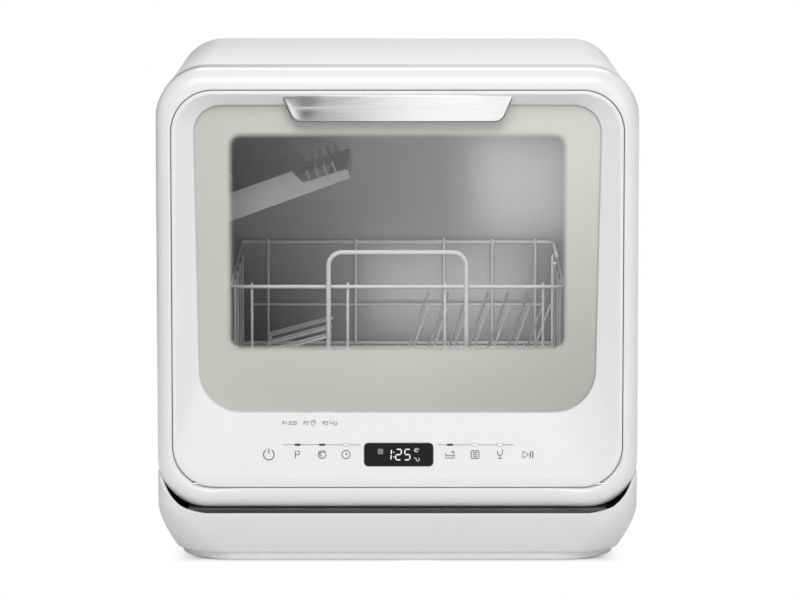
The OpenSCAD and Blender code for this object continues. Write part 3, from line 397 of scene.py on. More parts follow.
def group_named(maker):
    """The group that a function makes, made once."""
    if maker.__name__ not in GROUPS:
        GROUPS[maker.__name__] = maker()
    return GROUPS[maker.__name__]


def use(tree, maker, links):
    """Outputs of a shader group whose inputs are set."""
    return [Value(end) for end in add(tree, "ShaderNodeGroup", links, node_tree=group_named(maker)).outputs]


# Materials

def new_material(name, **plain):
    """Material with a Principled shader; plain sets its sockets to constant values."""
    material = bpy.data.materials.new(name)
    material.use_nodes = True
    tree = material.node_tree
    tree.nodes.clear()
    shader = add(tree, "ShaderNodeBsdfPrincipled")
    for key, value in plain.items():
        shader.inputs[key.replace("_", " ")].default_value = value
    result = add(tree, "ShaderNodeOutputMaterial", {"Surface": out(shader)})
    return material, tree, shader, result


def object_position(tree):
    return out(add(tree, "ShaderNodeTexCoord"), "Object")


def relief(tree, strength, distance, height):
    return out(add(tree, "ShaderNodeBump", {"Strength": strength, "Distance": distance, "Height": height}))


def rgba(colour):
    return (*colour, 1.0)


def plastic(name, colour, roughness, grains=900.0, bump=0.03, dust=0.08, spread=0.08, **plain):
    """Moulded or sprayed surface: grain in gloss and height, mottle and a thin film of dust."""
    material, tree, shader, _ = new_material(name, **plain)
    where = object_position(tree)
    height, gloss = use(tree, moulded_grain, {"Position": where, "Grains per metre": grains,
                                              "Roughness": roughness, "Roughness spread": spread})
    dusty, = use(tree, settled_dust, {"Position": where, "Colour": rgba(colour), "Amount": dust})
    connect(shader, {"Base Color": dusty, "Roughness": gloss, "Normal": relief(tree, bump, 0.0004, height)})
    return material


def brushed(name, colour, roughness, stretch, bump=0.05, **plain):
    """Metal brushed along one axis; stretch gives the lines per metre along X, Y and Z."""
    material, tree, shader, _ = new_material(name, Metallic=1.0, **plain)
    drawn = out(add(tree, "ShaderNodeMapping", {"Vector": object_position(tree), "Scale": stretch}))
    height, gloss, tone = use(tree, brushed_lines, {"Stretched position": drawn, "Roughness": roughness})
    base = blend_colours(tree, 1.0, rgba(colour), tone, "MULTIPLY")
    connect(shader, {"Base Color": base, "Roughness": gloss, "Normal": relief(tree, bump, 0.0002, height)})
    return material


def clear_glass(name, tint):
    """Clear pane; shadow rays pass it straight, so the room light reaches what is behind it."""
    material, tree, shader, result = new_material(
        name, Base_Color=rgba(tint), Roughness=0.0, IOR=1.45, Transmission_Weight=1.0)
    passing = add(tree, "ShaderNodeBsdfTransparent", {"Color": rgba([0.5 + 0.5 * c for c in tint])})
    shadow = out(add(tree, "ShaderNodeLightPath"), "Is Shadow Ray")
    connect(result, {"Surface": mix_shaders(tree, shadow, shader, passing)})
    return material


def silver_print(colour, window, fade, pitch):
    """Warm silver print behind the glass whose edge breaks up into dots towards the window.

    With d the distance inside the window's rounded rectangle, the print stays where a turned dot pattern,
    0.5 + (cos 2 pi u + cos 2 pi v) / 4, is above d / fade. Its tone falls by a third to the lower right: this
    is a painted sheen, the room's reflection laid into the colour.
    """
    material, tree, shader, _ = new_material("Silver print with painted sheen", Metallic=0.35, Coat_Weight=0.0)
    where = object_position(tree)
    height, gloss = use(tree, moulded_grain, {"Position": where, "Grains per metre": 2600.0,
                                              "Roughness": 0.36, "Roughness spread": 0.1})
    x, _, z = axes_of(where)
    half_w, half_h, mid_z, r = window
    above = z - mid_z
    qx, qz = abs(x) - (half_w - r), abs(above) - (half_h - r)
    reach = (qx.larger(0.0) ** 2.0 + qz.larger(0.0) ** 2.0).root()
    depth = r - (reach + qx.larger(qz).smaller(0.0))
    turn = 2 * math.pi / pitch * math.sqrt(0.5)
    dots = (((x + z) * turn).cosine() + ((x - z) * turn).cosine()) * 0.25 + 0.5
    alpha = (dots - depth / fade).remap(-0.02, 0.02, 0.0, 1.0)
    # Painted sheen: the print's colour darkens by a third towards the lower right, as a reflection would
    painted_sheen = (x / half_w - above / half_h * 1.2).remap(0.2, 2.8, 0.0, 1.0)
    fine = blend_colours(tree, height, rgba(colour), rgba([0.95 * c for c in colour]))
    tone = blend_colours(tree, painted_sheen, fine, rgba([0.64 * c for c in colour]))
    connect(shader, {"Base Color": tone, "Roughness": gloss, "Alpha": alpha})
    return material


def flat_ink(name, colour, glow=0.0):
    """Screen print, lit segment or painted shadow line: slightly uneven ink film."""
    material, tree, shader, _ = new_material(name)
    height, gloss = use(tree, moulded_grain, {"Position": object_position(tree), "Grains per metre": 3000.0,
                                              "Roughness": 0.5})
    tone = blend_colours(tree, height, rgba(colour), rgba([0.85 * c for c in colour]))
    connect(shader, {"Base Color": tone, "Roughness": gloss})
    if glow:
        connect(shader, {"Emission Color": tone, "Emission Strength": glow})
    return material


def make_materials(colours):
    """All finishes by their slot names in the record, with the extra ones of this file."""
    white = tuple(colours.white)
    return {
        "white_plastic": plastic("White gloss moulding", white, 0.24, 700.0, 0.05, 0.05,
                                 Coat_Weight=0.35, Coat_Roughness=0.08),
        "base_plastic": plastic("Satin base moulding", tuple(colours.base), 0.42, 1500.0, 0.10, 0.08),
        "painted_sheet": plastic("Powder coated sheet", tuple(colours.sheet), 0.36, 1100.0, 0.16, 0.12),
        "dark_plastic": plastic("Dark chassis plastic", tuple(colours.dark), 0.5, 1800.0, 0.15, 0.25),
        "grey_plastic": plastic("Grey fittings plastic", tuple(colours.grey), 0.38, 1600.0, 0.08, 0.04),
        "tank_plastic": plastic("Milky tank plastic", (0.74, 0.79, 0.82), 0.35, 900.0, 0.05, 0.05),
        "rubber": plastic("Black rubber", (0.025, 0.025, 0.026), 0.62, 2400.0, 0.2, 0.15),
        "coated_wire": plastic("Nylon coated wire", tuple(colours.wire), 0.25, 2600.0, 0.06, 0.0),
        "display": plastic("Display window", (0.006, 0.006, 0.007), 0.12, 500.0, 0.0, 0.0, spread=0.03,
                           Specular_IOR_Level=0.18),
        "circuit_board": plastic("Green lacquer board", (0.03, 0.17, 0.08), 0.3, 2500.0, 0.1, 0.0),
        "lamp_lens": plastic("Frosted lamp lens", (0.9, 0.93, 0.95), 0.3, 2000.0, 0.1, 0.0,
                             Emission_Color=(0.9, 0.95, 1.0, 1), Emission_Strength=0.8),
        "steel": brushed("Bright steel", (0.62, 0.63, 0.64), 0.25, (300.0, 300.0, 2500.0)),
        "tub_steel": brushed("Stainless tub sheet", tuple(colours.tub), 0.34, (60.0, 60.0, 1900.0), 0.06),
        "handle_metal": brushed("Satin silver handle", tuple(colours.handle), 0.17, (25.0, 2500.0, 2500.0),
                                0.02),
        "glass": clear_glass("Clear door glass", tuple(colours.glass)),
    }


# Pieces

def edge_growth(corners, plain, hinged):
    """An outline, its unit outward directions and the rounding at each point.

    The rounding goes from plain to hinged in the two lower corners, where the open door turns.
    """
    high, inward, fade_z, fade_x = 30 * MM, 46 * MM, 12 * MM, 10 * MM
    points = outline(corners)
    low = np.clip((DOOR_LOW[2] + high - points[:, 1]) / fade_z, 0, 1)
    aside = np.clip((np.abs(points[:, 0]) - DOOR_HIGH[0] + inward) / fade_x, 0, 1)
    return points, (outline(corners, MM) - points) / MM, plain + (hinged - plain) * low * aside


def front_frame():
    """Front frame: ruled between the body's outline and the door opening.

    A point t inside the body's outline lies 17 - sqrt(17^2 - (17 - t)^2) mm back, which is the rolled outer
    edge, and the opening's edge turns in by a quarter round, which is larger in the lower corners.
    """
    sizes = settings()[0]
    body = box_corners(BODY_LOW[0], BODY_HIGH[0], BODY_LOW[2], BODY_HIGH[2], BODY_R)
    gap = sizes.seam
    mouth = box_corners(DOOR_LOW[0] - gap, DOOR_HIGH[0] + gap, DOOR_LOW[2] - gap, DOOR_HIGH[2] + gap,
                        DOOR_R + gap)
    back = BODY_HIGH[1] - FRONT_Y
    rim, out, edge = edge_growth(mouth, sizes.mouth_round, sizes.hinge_round)
    outer, inner = outline(body), rim + out * edge[:, None]

    def roll_depth(points):
        t = np.clip(inside_distance(points, body), 0, EDGE_ROLL)
        return EDGE_ROLL - np.sqrt(np.maximum(EDGE_ROLL ** 2 - (EDGE_ROLL - t) ** 2, 0))

    rings = [at_depth(outline(body, -MM * (1 - math.sin(t))), back - MM * (1 - math.cos(t)))
             for t in np.linspace(0, np.pi / 2, 5)]
    rings.append(at_depth(outer, (back + EDGE_ROLL) / 2))
    for share in 1 - np.cos(np.linspace(0, np.pi / 2, 16)):
        points = outer + share * (inner - outer)
        rings.append(at_depth(points, roll_depth(points)))
    for turn in np.linspace(0, np.pi / 2, 6)[1:]:
        points = rim + out * edge[:, None] * (1 - math.sin(turn))
        rings.append(at_depth(points, roll_depth(inner) + edge * (1 - math.cos(turn))))
    flange, thick = 3.6 * MM, 2 * MM
    rings += [at_depth(outline(mouth), back - thick), at_depth(outline(mouth, flange), back - thick),
              at_depth(outline(mouth, flange), back)]
    place("FrontFrame", loft(rings, closed=True), "cabinet", "white_plastic", "front_frame")


def glass_corners():
    """The glass is wider at the top and has larger lower corners."""
    half_top, half_low = GLASS_HIGH[0], GLASS_HIGH[0] - 4 * MM
    z0, z1, rt, rb = GLASS_LOW[2], GLASS_HIGH[2], 24 * MM, 37 * MM
    return np.array([(half_low - rb, z0 + rb, rb), (half_top - rt, z1 - rt, rt),
                     (rt - half_top, z1 - rt, rt), (rb - half_low, z0 + rb, rb)])


def window_corners():
    return box_corners(TUNNEL_LOW[0] + TUNNEL_WALL, TUNNEL_HIGH[0] - TUNNEL_WALL,
                       TUNNEL_LOW[2] + TUNNEL_WALL, TUNNEL_HIGH[2] - TUNNEL_WALL, 10 * MM)


def door_moulding():
    """Door moulding: a rolled edge, a land, a basin ruled back to the glass and the glass's seat.

    The basin is P = rim + q (glass edge - rim) at q times its depth, and its upper edge is a quadratic
    Bezier curve from the land over the rim to the point q = 0.08.
    """
    door = box_corners(DOOR_LOW[0], DOOR_HIGH[0], DOOR_LOW[2], DOOR_HIGH[2], DOOR_R)
    rim = box_corners(DOOR_LOW[0] + BEAD, DOOR_HIGH[0] - BEAD, RIM_Z0, RIM_Z1, DOOR_R - BEAD)
    seat, tunnel = glass_corners(), window_corners()
    back, soft, start = DOOR_HIGH[1] - FRONT_Y, 1.1 * MM, 0.08
    hinged = 2.6 * MM
    side, out, roll = edge_growth(door, settings()[0].door_round, hinged)
    rings = [at_depth(outline(door), back), at_depth(outline(door), back / 2)]
    for turn in np.linspace(0, np.pi / 2, 7):
        points = side - out * roll[:, None] * (1 - math.cos(turn))
        rings.append(at_depth(points, roll * (1 - math.sin(turn))))
    land, corner = outline(rim, soft), outline(rim)
    edge = outline(seat, 0.5 * MM)
    first = corner + start * (edge - corner)
    for t in np.linspace(0, 1, 7):
        points = (1 - t) ** 2 * land + 2 * t * (1 - t) * corner + t ** 2 * first
        rings.append(at_depth(points, t ** 2 * start * BASIN_D))
    for q in np.linspace(start, 1, 12)[1:]:
        rings.append(at_depth(corner + q * (edge - corner), q * BASIN_D))
    wall, hole = 2.5 * MM, outline(tunnel, 6 * MM)
    rings += [at_depth(edge, SEAT_D), at_depth(hole, SEAT_D), at_depth(hole, SEAT_D + wall),
              at_depth(outline(door, -wall), SEAT_D + wall), at_depth(outline(door, -wall), back)]
    place("DoorMoulding", loft(rings, closed=True), "door", "white_plastic", "door_bezel", sharp=24)


def pane(name, node, corners, depth0, depth1, chamfer, slot, hole=None):
    """Flat pane between two depths with chamfered edges, with or without a hole."""
    steps = [(-chamfer, depth0), (0, depth0 + chamfer), (0, depth1 - chamfer), (-chamfer, depth1)]
    rings = [at_depth(outline(corners, g), d) for g, d in steps]
    if hole is not None:
        rings += [at_depth(outline(*hole), d) for d in (depth1, depth0)]
    place(name, loft(rings, closed=hole is not None), "door", slot, node)


def door_panes():
    """Outer glass, its print with the dotted window edge, and the inner pane."""
    sizes, air = settings()[0], 0.05 * MM
    corners, front, back = glass_corners(), BASIN_D, GLASS_HIGH[1] - FRONT_Y
    pane("DoorGlass", "door_glass", corners, front, back, 0.5 * MM, "glass")
    pane("SilverPrint", "glass_mask", corners, back + air, SEAT_D - air, 0.0, "silver_print",
         (window_corners(), sizes.dot_reach - sizes.dot_fade))
    low, high = corners_of("inner_pane")
    inner = box_corners(low[0], high[0], low[2], high[2], 21 * MM)
    pane("InnerPane", "inner_pane", inner, low[1] - FRONT_Y, high[1] - FRONT_Y, 0.4 * MM, "glass")


def handle_corners():
    """The handle is cut slantwise at its ends, with large lower corners."""
    half, z0, z1 = HANDLE_HIGH[0], HANDLE_LOW[2], HANDLE_HIGH[2]
    cut, r, tip = 6 * MM, 9 * MM, 1.5 * MM
    low = half - cut - r
    return np.array([(low, z0 + r, r), (half - tip, z1 - tip, tip), (tip - half, z1 - tip, tip),
                     (-low, z0 + r, r)])


def handle():
    """Handle plate: outline rings shrink to the middle while the face bows back by 1.6 (x / half)^2 mm and
    hollows near its left end; side returns and a top web join it to the basin. A dark ring behind its edge is
    painted shade round the plate."""
    corners, face, soft = handle_corners(), 1.0 * MM, 0.45 * MM
    bow, fold, fold_at, fold_w = 1.6 * MM, 0.25 * MM, 0.86, 9 * MM
    half, mid = HANDLE_HIGH[0], np.array([0, (HANDLE_LOW[2] + HANDLE_HIGH[2]) / 2])
    rim_d, inset = face + 3.6 * MM, 2 * MM

    def ring(grow):
        return outline(corners, grow, 10, 30)

    def face_depth(points, share):
        hollow = fold * (1 - share) * np.exp(-((points[:, 0] + fold_at * half) / fold_w) ** 2)
        return face + bow * (points[:, 0] / half) ** 2 + hollow

    rim, inner = ring(0), ring(-soft)
    rings = [at_depth(ring(-inset), rim_d), at_depth(rim, rim_d), at_depth(rim, face_depth(rim, 1) + soft)]
    for turn in np.linspace(0.3, 1, 4) * np.pi / 2:
        points = ring(-soft * (1 - math.cos(turn)))
        rings.append(at_depth(points, face_depth(points, 1) + soft * (1 - math.sin(turn))))
    for share in (0.92, 0.8, 0.6, 0.35, 0.1):
        points = mid + (inner - mid) * [0.9 + 0.1 * share, share]
        rings.append(at_depth(points, face_depth(points, share ** 4)))
    parts = [loft(rings)]
    low, top, y = HANDLE_LOW[2] + 5 * MM, HANDLE_HIGH[2] - 7 * MM, FRONT_Y + 7.2 * MM
    foot, knee, head = half - 9.5 * MM, half - 6.3 * MM, half - 3.5 * MM
    strip = np.array([(-1, -4.2), (1, -4.2), (1, 4.2), (-1, 4.2)]) * MM
    for s in (-1, 1):
        path = [(s * foot, y, low), (s * knee, y, (low + top) / 2), (s * head, y, top)]
        parts.append(sweep(path, strip, BACK))
    web = np.array([(3.0, -2.0), (3.0, -5.5), (11.5, -13.6), (11.5, -9.8)]) * MM
    parts.append(loft([np.column_stack([np.full(4, x), FRONT_Y + web[:, 0], HANDLE_HIGH[2] + web[:, 1]])
                       for x in (-half + 9 * MM, half - 9 * MM)]))
    # Dark ring just behind the plate's edge: painted shade that draws a dark outline round the handle
    grow, near, far = 0.8 * MM, face + 3.8 * MM, face + 5 * MM
    painted_shade_ring = [at_depth(ring(g), d) for g, d in ((-inset, near), (grow, near), (grow, far), (-inset, far))]
    place("HandlePaintedShade", loft(painted_shade_ring), "door", "dark_plastic")
    place("DoorHandle", joined(parts), "door", "handle_metal", "handle", sharp=40)


def tray_points(z, grow, angle_cos, angle_sin, cx, cy):
    """Points of the base's plan outline at heights z: it draws in below 50 mm by 15 ((50 - z) / 42)^1.5 mm
    and its corner radius grows from 20 to 44 mm."""
    low = np.clip((BASE_BEND - z) / (42 * MM), 0, 1)
    inset = 15 * MM * low ** 1.5 - grow
    r = 20 * MM + 24 * MM * low + grow
    x = cx * (BODY_HIGH[0] - inset - r) + r * angle_cos
    y = cy * (TRAY_HIGH[1] - inset - r) + r * angle_sin
    return np.column_stack([x, y, z])


def plan_turns():
    """Cosine, sine and corner signs of each point around the base's plan, with 48 points along each side."""
    arc, side = np.linspace(0, np.pi / 2, 13), np.sin(np.linspace(-1, 1, 50)[1:-1] * np.pi / 2)
    rows = []
    for k, (sx, sy) in enumerate(((1, 1), (-1, 1), (-1, -1), (1, -1))):
        corner, flat = arc + k * np.pi / 2, np.full(48, (k + 1) * np.pi / 2)
        rows.append([np.cos(corner), np.sin(corner), np.full(13, sx), np.full(13, sy)])
        along = (-side * sx, np.full(48, sy)) if k % 2 == 0 else (np.full(48, k - 2.0), -side * sy)
        rows.append([np.cos(flat), np.sin(flat), *along])
    return np.hstack(rows)


def base_tray():
    """Base: its wall runs from the plinth up to the cradle's edge, which is flat in the middle and rises in a
    40 mm arc, 85 - sqrt(40^2 - (|x| - 171)^2) + 0.12 (|x| - 171), at both sides."""
    turns, foot = plan_turns(), TRAY_LOW[2]
    cradle_r, cradle_x, cradle_z, lean = 40 * MM, 171 * MM, 85 * MM, 0.12
    wide = np.abs(tray_points(np.full(turns.shape[1], BASE_BEND), 0, *turns)[:, 0])
    run = np.clip(wide - cradle_x, 0, 39 * MM)
    top = cradle_z - np.sqrt(cradle_r ** 2 - run ** 2) + lean * run

    def row(share, grow, lift=0.0):
        return tray_points(foot + share * (top - foot) + lift, grow, *turns)

    lip, wall = 1.2 * MM, 3.2 * MM
    rings = [row(0, -6 * MM), row(0, -1.2 * MM), row(0, -0.3 * MM, 0.5 * MM), row(0, 0, 1.4 * MM)]
    rings += [row(s, 0) for s in np.linspace(0.06, 0.93, 16)]
    rings += [row(1, -lip * (1 - math.cos(t)), -lip * (1 - math.sin(t))) for t in np.linspace(0, np.pi / 2, 5)]
    rings += [row(1, -2.6 * MM), row(1, -wall, -0.6 * MM), row(0.7, -wall), row(0.2, -wall)]
    place("BaseTray", loft(rings), "cabinet", "base_plastic", "base_tray")


def plinth():
    """Plinth: a shell open below, with a rounded lower edge."""
    ca, sa, cx, cy = plan_turns()
    inset_x, inset_y, corner_r = 19.5 * MM, 17 * MM, 52 * MM

    def ring(z, grow):
        r = corner_r + grow
        x = cx * (BODY_HIGH[0] - inset_x + grow - r) + r * ca
        y = cy * (TRAY_HIGH[1] - inset_y + grow - r) + r * sa
        return np.column_stack([x, y, np.full(len(ca), z)])

    low, top, soft, wall = PLINTH_LOW[2], PLINTH_HIGH[2], 1.2 * MM, 3 * MM
    rings = [ring(top - 2.5 * MM, -wall), ring(low, -wall)]
    rings += [ring(low + soft * (1 - math.cos(t)), -soft * (1 - math.sin(t)))
              for t in np.linspace(0, np.pi / 2, 5)]
    rings += [ring(top, 0), ring(top, -4 * MM)]
    place("Plinth", loft(rings), "cabinet", "base_plastic", "plinth")


def cabinet_cover():
    """Sheet cover: an open path up one side, over the top and down the other, swept as a thin strip."""
    low_z, y0, y1 = COVER_LOW[2], COVER_LOW[1], COVER_HIGH[1]
    half, edge = 0.6 * MM, 0.5 * MM
    body = box_corners(COVER_LOW[0], COVER_HIGH[0], BODY_LOW[2] + MM, COVER_HIGH[2], BODY_R - MM)
    ring = outline(body, -half, 24, 20)
    start = int(np.argmin(np.abs(ring[:, 0] - ring[:, 0].max()) + np.abs(ring[:, 1] - low_z) * 3))
    ring = np.roll(ring, -start, axis=0)
    path = ring[ring[:, 1] > low_z]
    strip = np.array([(-half, y0 + edge), (-half + edge / 2, y0), (half - edge / 2, y0), (half, y0 + edge),
                      (half, y1), (-half, y1)])
    path = np.column_stack([path[:, 0], np.zeros(len(path)), path[:, 1]])
    place("CabinetCover", sweep(path, strip, BACK), "cabinet", "painted_sheet", "cabinet_cover")


def rack_sizes():
    """Wire and rail radii, the rail's width and depth, its front, middle and back in Y, and its height."""
    sizes = settings()[0]
    wire, rail = sizes.rack_wire / 2, sizes.rack_rail / 2
    w, d, _ = RACK_HIGH - RACK_LOW - 2 * rail
    front = RACK_LOW[1] + rail
    return SimpleNamespace(wire=wire, rail=rail, w=w, d=d, front=front, mid=front + d / 2, back=front + d,
                           z=RACK_HIGH[2] - rail)


def rack_rail(rack, height, tilt):
    """Closed rail at a height over the rack's floor, tilted about X."""
    flat = outline(box_corners(-rack.w / 2, rack.w / 2, -rack.d / 2, rack.d / 2, RACK_BEND), 0, 8, 6)
    path = np.column_stack([flat[:, 0], flat[:, 1] * math.cos(tilt) + rack.mid,
                            rack.z + height + flat[:, 1] * math.sin(tilt)])
    return sweep(path, circle_profile(rack.rail, 14), (0, -math.sin(tilt), math.cos(tilt)), closed=True)


def rack_piece(name, parts, *nodes):
    place(name, joined(parts), "rack", "coated_wire", *nodes)


def rack_floor():
    """Floor: the rail, nine wires under it from front to back and seven across them."""
    rack = rack_sizes()
    parts, low = [rack_rail(rack, 0, 0)], rack.z - rack.rail
    for i in range(-4, 5):
        x = i * (rack.w - 2 * RACK_BEND) / 9.2
        parts.append(straight((x, rack.front, low), (x, rack.back, low), rack.wire, UP))
    for i in range(-3, 4):
        y, high = rack.mid + i * (rack.d - 2 * RACK_BEND) / 7.2, low + 1.7 * rack.wire
        parts.append(straight((-rack.w / 2, y, high), (rack.w / 2, y, high), rack.wire, UP))
    rack_piece("RackFloor", parts, "rack_floor")


def rack_fence():
    """Fence: a rail that falls to the front, posts at shares of its width or depth, and a wire at the back."""
    rack, back_top, front_top, past = rack_sizes(), 97 * MM, 89 * MM, 2.5 * MM
    reach = rack.wire + 0.6 * rack.rail
    side = rack.w / 2 - reach
    posts = [(x * rack.w, rack.front + reach, front_top + past) for x in (-0.436, -0.149, 0.142, 0.436)]
    posts += [(x * rack.w, rack.back - reach, back_top + past) for x in (-0.416, -0.135, 0.149, 0.304, 0.443)]
    posts += [(s * side, rack.mid + y * rack.d, front_top) for s in (-1, 1)
              for y in (-0.337, -0.118, 0.118, 0.337)]
    parts = [rack_rail(rack, (back_top + front_top) / 2, math.atan((back_top - front_top) / rack.d))]
    parts += [straight((x, y, rack.z + rack.rail), (x, y, rack.z + top), rack.wire, ACROSS)
              for x, y, top in posts]
    half, y, z = rack.w / 2 - RACK_BEND, rack.back - rack.wire, rack.z + back_top - 60 * MM
    parts.append(straight((-half, y, z), (half, y, z), rack.wire, UP))
    rack_piece("RackFence", parts, "rack_front", "rack_back", "rack_left", "rack_right")


def rack_loop():
    """Front loop: one thicker wire bent up, across and down."""
    rack, hoop = rack_sizes(), settings()[0].rack_hoop / 2
    low, high = corners_of("rack_loop")
    half, y, foot, top = high[0] - hoop, (low[1] + high[1]) / 2, rack.z - rack.rail, high[2] - hoop
    path = bent([(-half, y, foot), (-half, y, top), (half, y, top), (half, y, foot)], 12 * MM, 12)
    rack_piece("RackLoop", [rod(path, hoop, BACK, 18)], "rack_loop")


def plate_tines():
    """Plate tines: two rows of seven that lean 20 degrees to the right."""
    rack, low = rack_sizes(), corners_of("plate_tines")[0]
    first, past, pitch, height, lean = 6 * MM, 8 * MM, 18.3 * MM, 62 * MM, math.radians(20)
    bar, parts = low[2] + rack.wire, []
    for y in (rack.mid - 66 * MM, rack.mid + 22 * MM):
        parts.append(straight((first - past, y, bar), (first + 6 * pitch + past, y, bar), rack.wire, UP))
        for i in range(7):
            foot = np.array([first + i * pitch, y, bar])
            parts.append(straight(foot, foot + [height * math.tan(lean), 0, height], rack.wire, BACK))
    rack_piece("PlateTines", parts, "plate_tines")


def cup_loops():
    """Cup loops: three hairpins on legs that rise 15 degrees to the right from a bar at the left."""
    rack, (low, high) = rack_sizes(), corners_of("cup_loops")
    wire, foot, bar, rise = rack.wire, low[0] + rack.wire, low[2] + rack.wire, math.radians(15)
    run, half, pitch, shift, knee = 50 * MM, 10 * MM, 62 * MM, 20 * MM, bar + 19 * MM
    parts = [straight((foot, low[1], bar), (foot, high[1], bar), wire, UP)]
    turn = np.linspace(-np.pi / 2, np.pi / 2, 14)
    out = run + half * np.cos(turn)
    for i in (-1, 0, 1):
        y = rack.mid - shift + i * pitch
        nose = np.column_stack([foot + out * math.cos(rise), y + half * np.sin(turn),
                                knee + out * math.sin(rise)])
        path = np.vstack([[(foot, y - half, knee)], nose, [(foot, y + half, knee)]])
        parts.append(rod(path, wire, (-math.sin(rise), 0, math.cos(rise))))
        parts += [straight((foot, y + s * half, bar), (foot, y + s * half, knee), wire, ACROSS)
                  for s in (-1, 1)]
    rack_piece("CupLoops", parts, "cup_loops")


# Prints on the control slope

def on_slope(flat, lift):
    """Points (x, s) of the control slope, s counted up from its lower edge, lifted off its face."""
    flat = np.asarray(flat, float)
    s, c = math.sin(SLOPE_A), math.cos(SLOPE_A)
    return np.column_stack([flat[:, 0], FRONT_Y + flat[:, 1] * s - lift * c,
                            RIM_Z0 + flat[:, 1] * c + lift * s])


def stroke(points, width, closed=False, lift=0.10 * MM, scale=MM):
    """Flat ribbon of ink along a line on the slope."""
    half, thick = width / 2, 0.06 * MM
    profile = np.array([(-half, -thick), (half, -thick), (half, thick), (-half, thick)])
    path = on_slope(np.asarray(points, float) * scale, lift)
    if not closed and len(path) == 2:
        path = np.insert(path, 1, path.mean(axis=0), axis=0)
    return sweep(path, profile, (0, -math.cos(SLOPE_A), math.sin(SLOPE_A)), closed=closed)


def patch(corners, low, high, chamfer=0.0):
    """Slab on the slope with a rounded outline between two lifts."""
    rings = [on_slope(outline(corners), low), on_slope(outline(corners), high - chamfer)]
    if chamfer:
        rings.append(on_slope(outline(corners, -chamfer), high))
    return loft(rings)


def arc(x, y, r, first, last, n=20):
    a = np.radians(np.linspace(first, last, n))
    return np.column_stack([x + r * np.cos(a), y + r * np.sin(a)])


def icon_strokes():
    """Lines of each key's symbol in millimetres about its centre; one that ends where it starts is closed."""
    sheet = outline(box_corners(-3.4, 3.4, -3.4, 3.4, 1.1), 0, 6, 3)
    return {
        "power": [arc(0, 0, 4.6, 122, 418, 40), [(0, 0.8), (0, 5.4)]],
        "program": [np.vstack([[(-1.9, -3.1), (-1.9, 3.1)], arc(0.35, 1.5, 1.6, 90, -90, 14), [(-1.9, -0.1)]])],
        "dishes": [arc(0, 0, 3.3, 150, 480, 34), arc(-0.4, 0.2, 1.5, 60, 300, 18), [(-3.3, 2.4), (-1.2, 2.4)],
                   [(-3.4, 1.2), (-1.6, 1.2)], [(1.6, 3.6), (2.7, 2.4), (1.2, 2.0)]],
        "delay": [arc(0, 0, 3.6, 0, 360, 40), [(0, 2.2), (0, 0), (1.8, 0)]],
        "bath": [[(-4, 1.6), (-3.7, 1.2), (-3.7, -3), (3.7, -3), (3.7, 0.6)],
                 np.column_stack([np.linspace(-3.6, 3.6, 24), -0.9 + 0.35 * np.sin(np.linspace(0, 14, 24))]),
                 [(1.2, 2.2), (4.2, 2.2)], [(2.7, 0.9), (2.7, 3.6)]],
        "extra": [np.vstack([sheet, sheet[:1]]),
                  *[np.column_stack([np.linspace(-2, 2, 14), y + 0.3 * np.sin(np.linspace(0, 9, 14))])
                    for y in (-1.7, 0, 1.7)]],
        "glass": [np.vstack([[(-2.4, 3.2)], arc(0, 1.4, 2.1, 190, 350, 16), [(2.0, 2.2)]]),
                  [(0, -0.8), (0, -3.2)], [(-1.5, -3.3), (1.5, -3.3)], [(1.4, 3.6), (2.9, 3.6)],
                  [(2.15, 2.9), (2.15, 4.3)]],
        "start": [[(-4.6, 3), (-4.6, -3), (0.6, 0), (-4.6, 3)], [(2.0, -3), (2.0, 3)], [(4.2, -3), (4.2, 3)]],
    }


LETTERS = {
    "P": [[(0, 0), (0, 1), (0.45, 1), (0.6, 0.85), (0.6, 0.62), (0.45, 0.47), (0, 0.47)]],
    "E": [[(0.55, 1), (0, 1), (0, 0), (0.55, 0)], [(0, 0.52), (0.5, 0.52)]],
    "C": [[(0.6, 0.85), (0.45, 1), (0.15, 1), (0, 0.85), (0, 0.15), (0.15, 0), (0.45, 0), (0.6, 0.15)]],
    "O": [[(0.15, 0), (0, 0.15), (0, 0.85), (0.15, 1), (0.45, 1), (0.6, 0.85), (0.6, 0.15), (0.45, 0),
           (0.15, 0)]],
    "1": [[(0.1, 0.8), (0.3, 1), (0.3, 0)]],
    "2": [[(0, 0.85), (0.15, 1), (0.45, 1), (0.6, 0.8), (0.6, 0.62), (0, 0), (0.6, 0)]],
    "3": [[(0, 0.9), (0.15, 1), (0.45, 1), (0.6, 0.85), (0.6, 0.65), (0.45, 0.52), (0.6, 0.4), (0.6, 0.15),
           (0.45, 0), (0.15, 0), (0, 0.1)]],
}
SEGMENTS = {"1": "bc", "2": "abged", "5": "afgcd"}
SEGMENT_ENDS = {"a": ((0, 2), (1, 2)), "b": ((1, 2), (1, 1)), "c": ((1, 1), (1, 0)), "d": ((0, 0), (1, 0)),
                "e": ((0, 1), (0, 0)), "f": ((0, 2), (0, 1)), "g": ((0, 1), (1, 1))}
KEYS = {"power": -112.4, "program": -87.3, "dishes": -65.9, "delay": -45.0, "bath": 45.8, "extra": 67.7,
        "glass": 89.5, "start": 114.0}
LIT_KEYS = ("program", "dishes", "bath")
KEY_S, LINE_S, LABEL_S = 20.3, 28.9, 46.6
LABEL_LINE = 0.46 * MM
LAMP_SIZE = (2.7, 0.9, 0.85)  # Half length, half height and corner radius


def slope_box(x, s, half_x, half_s, r):
    """Corners of a rounded rectangle about a point of the slope, in millimetres."""
    return box_corners(x - half_x, x + half_x, s - half_s, s + half_s, r)


def print_piece(name, parts, finish):
    place(name, joined(parts), "door", "display", finish=finish)


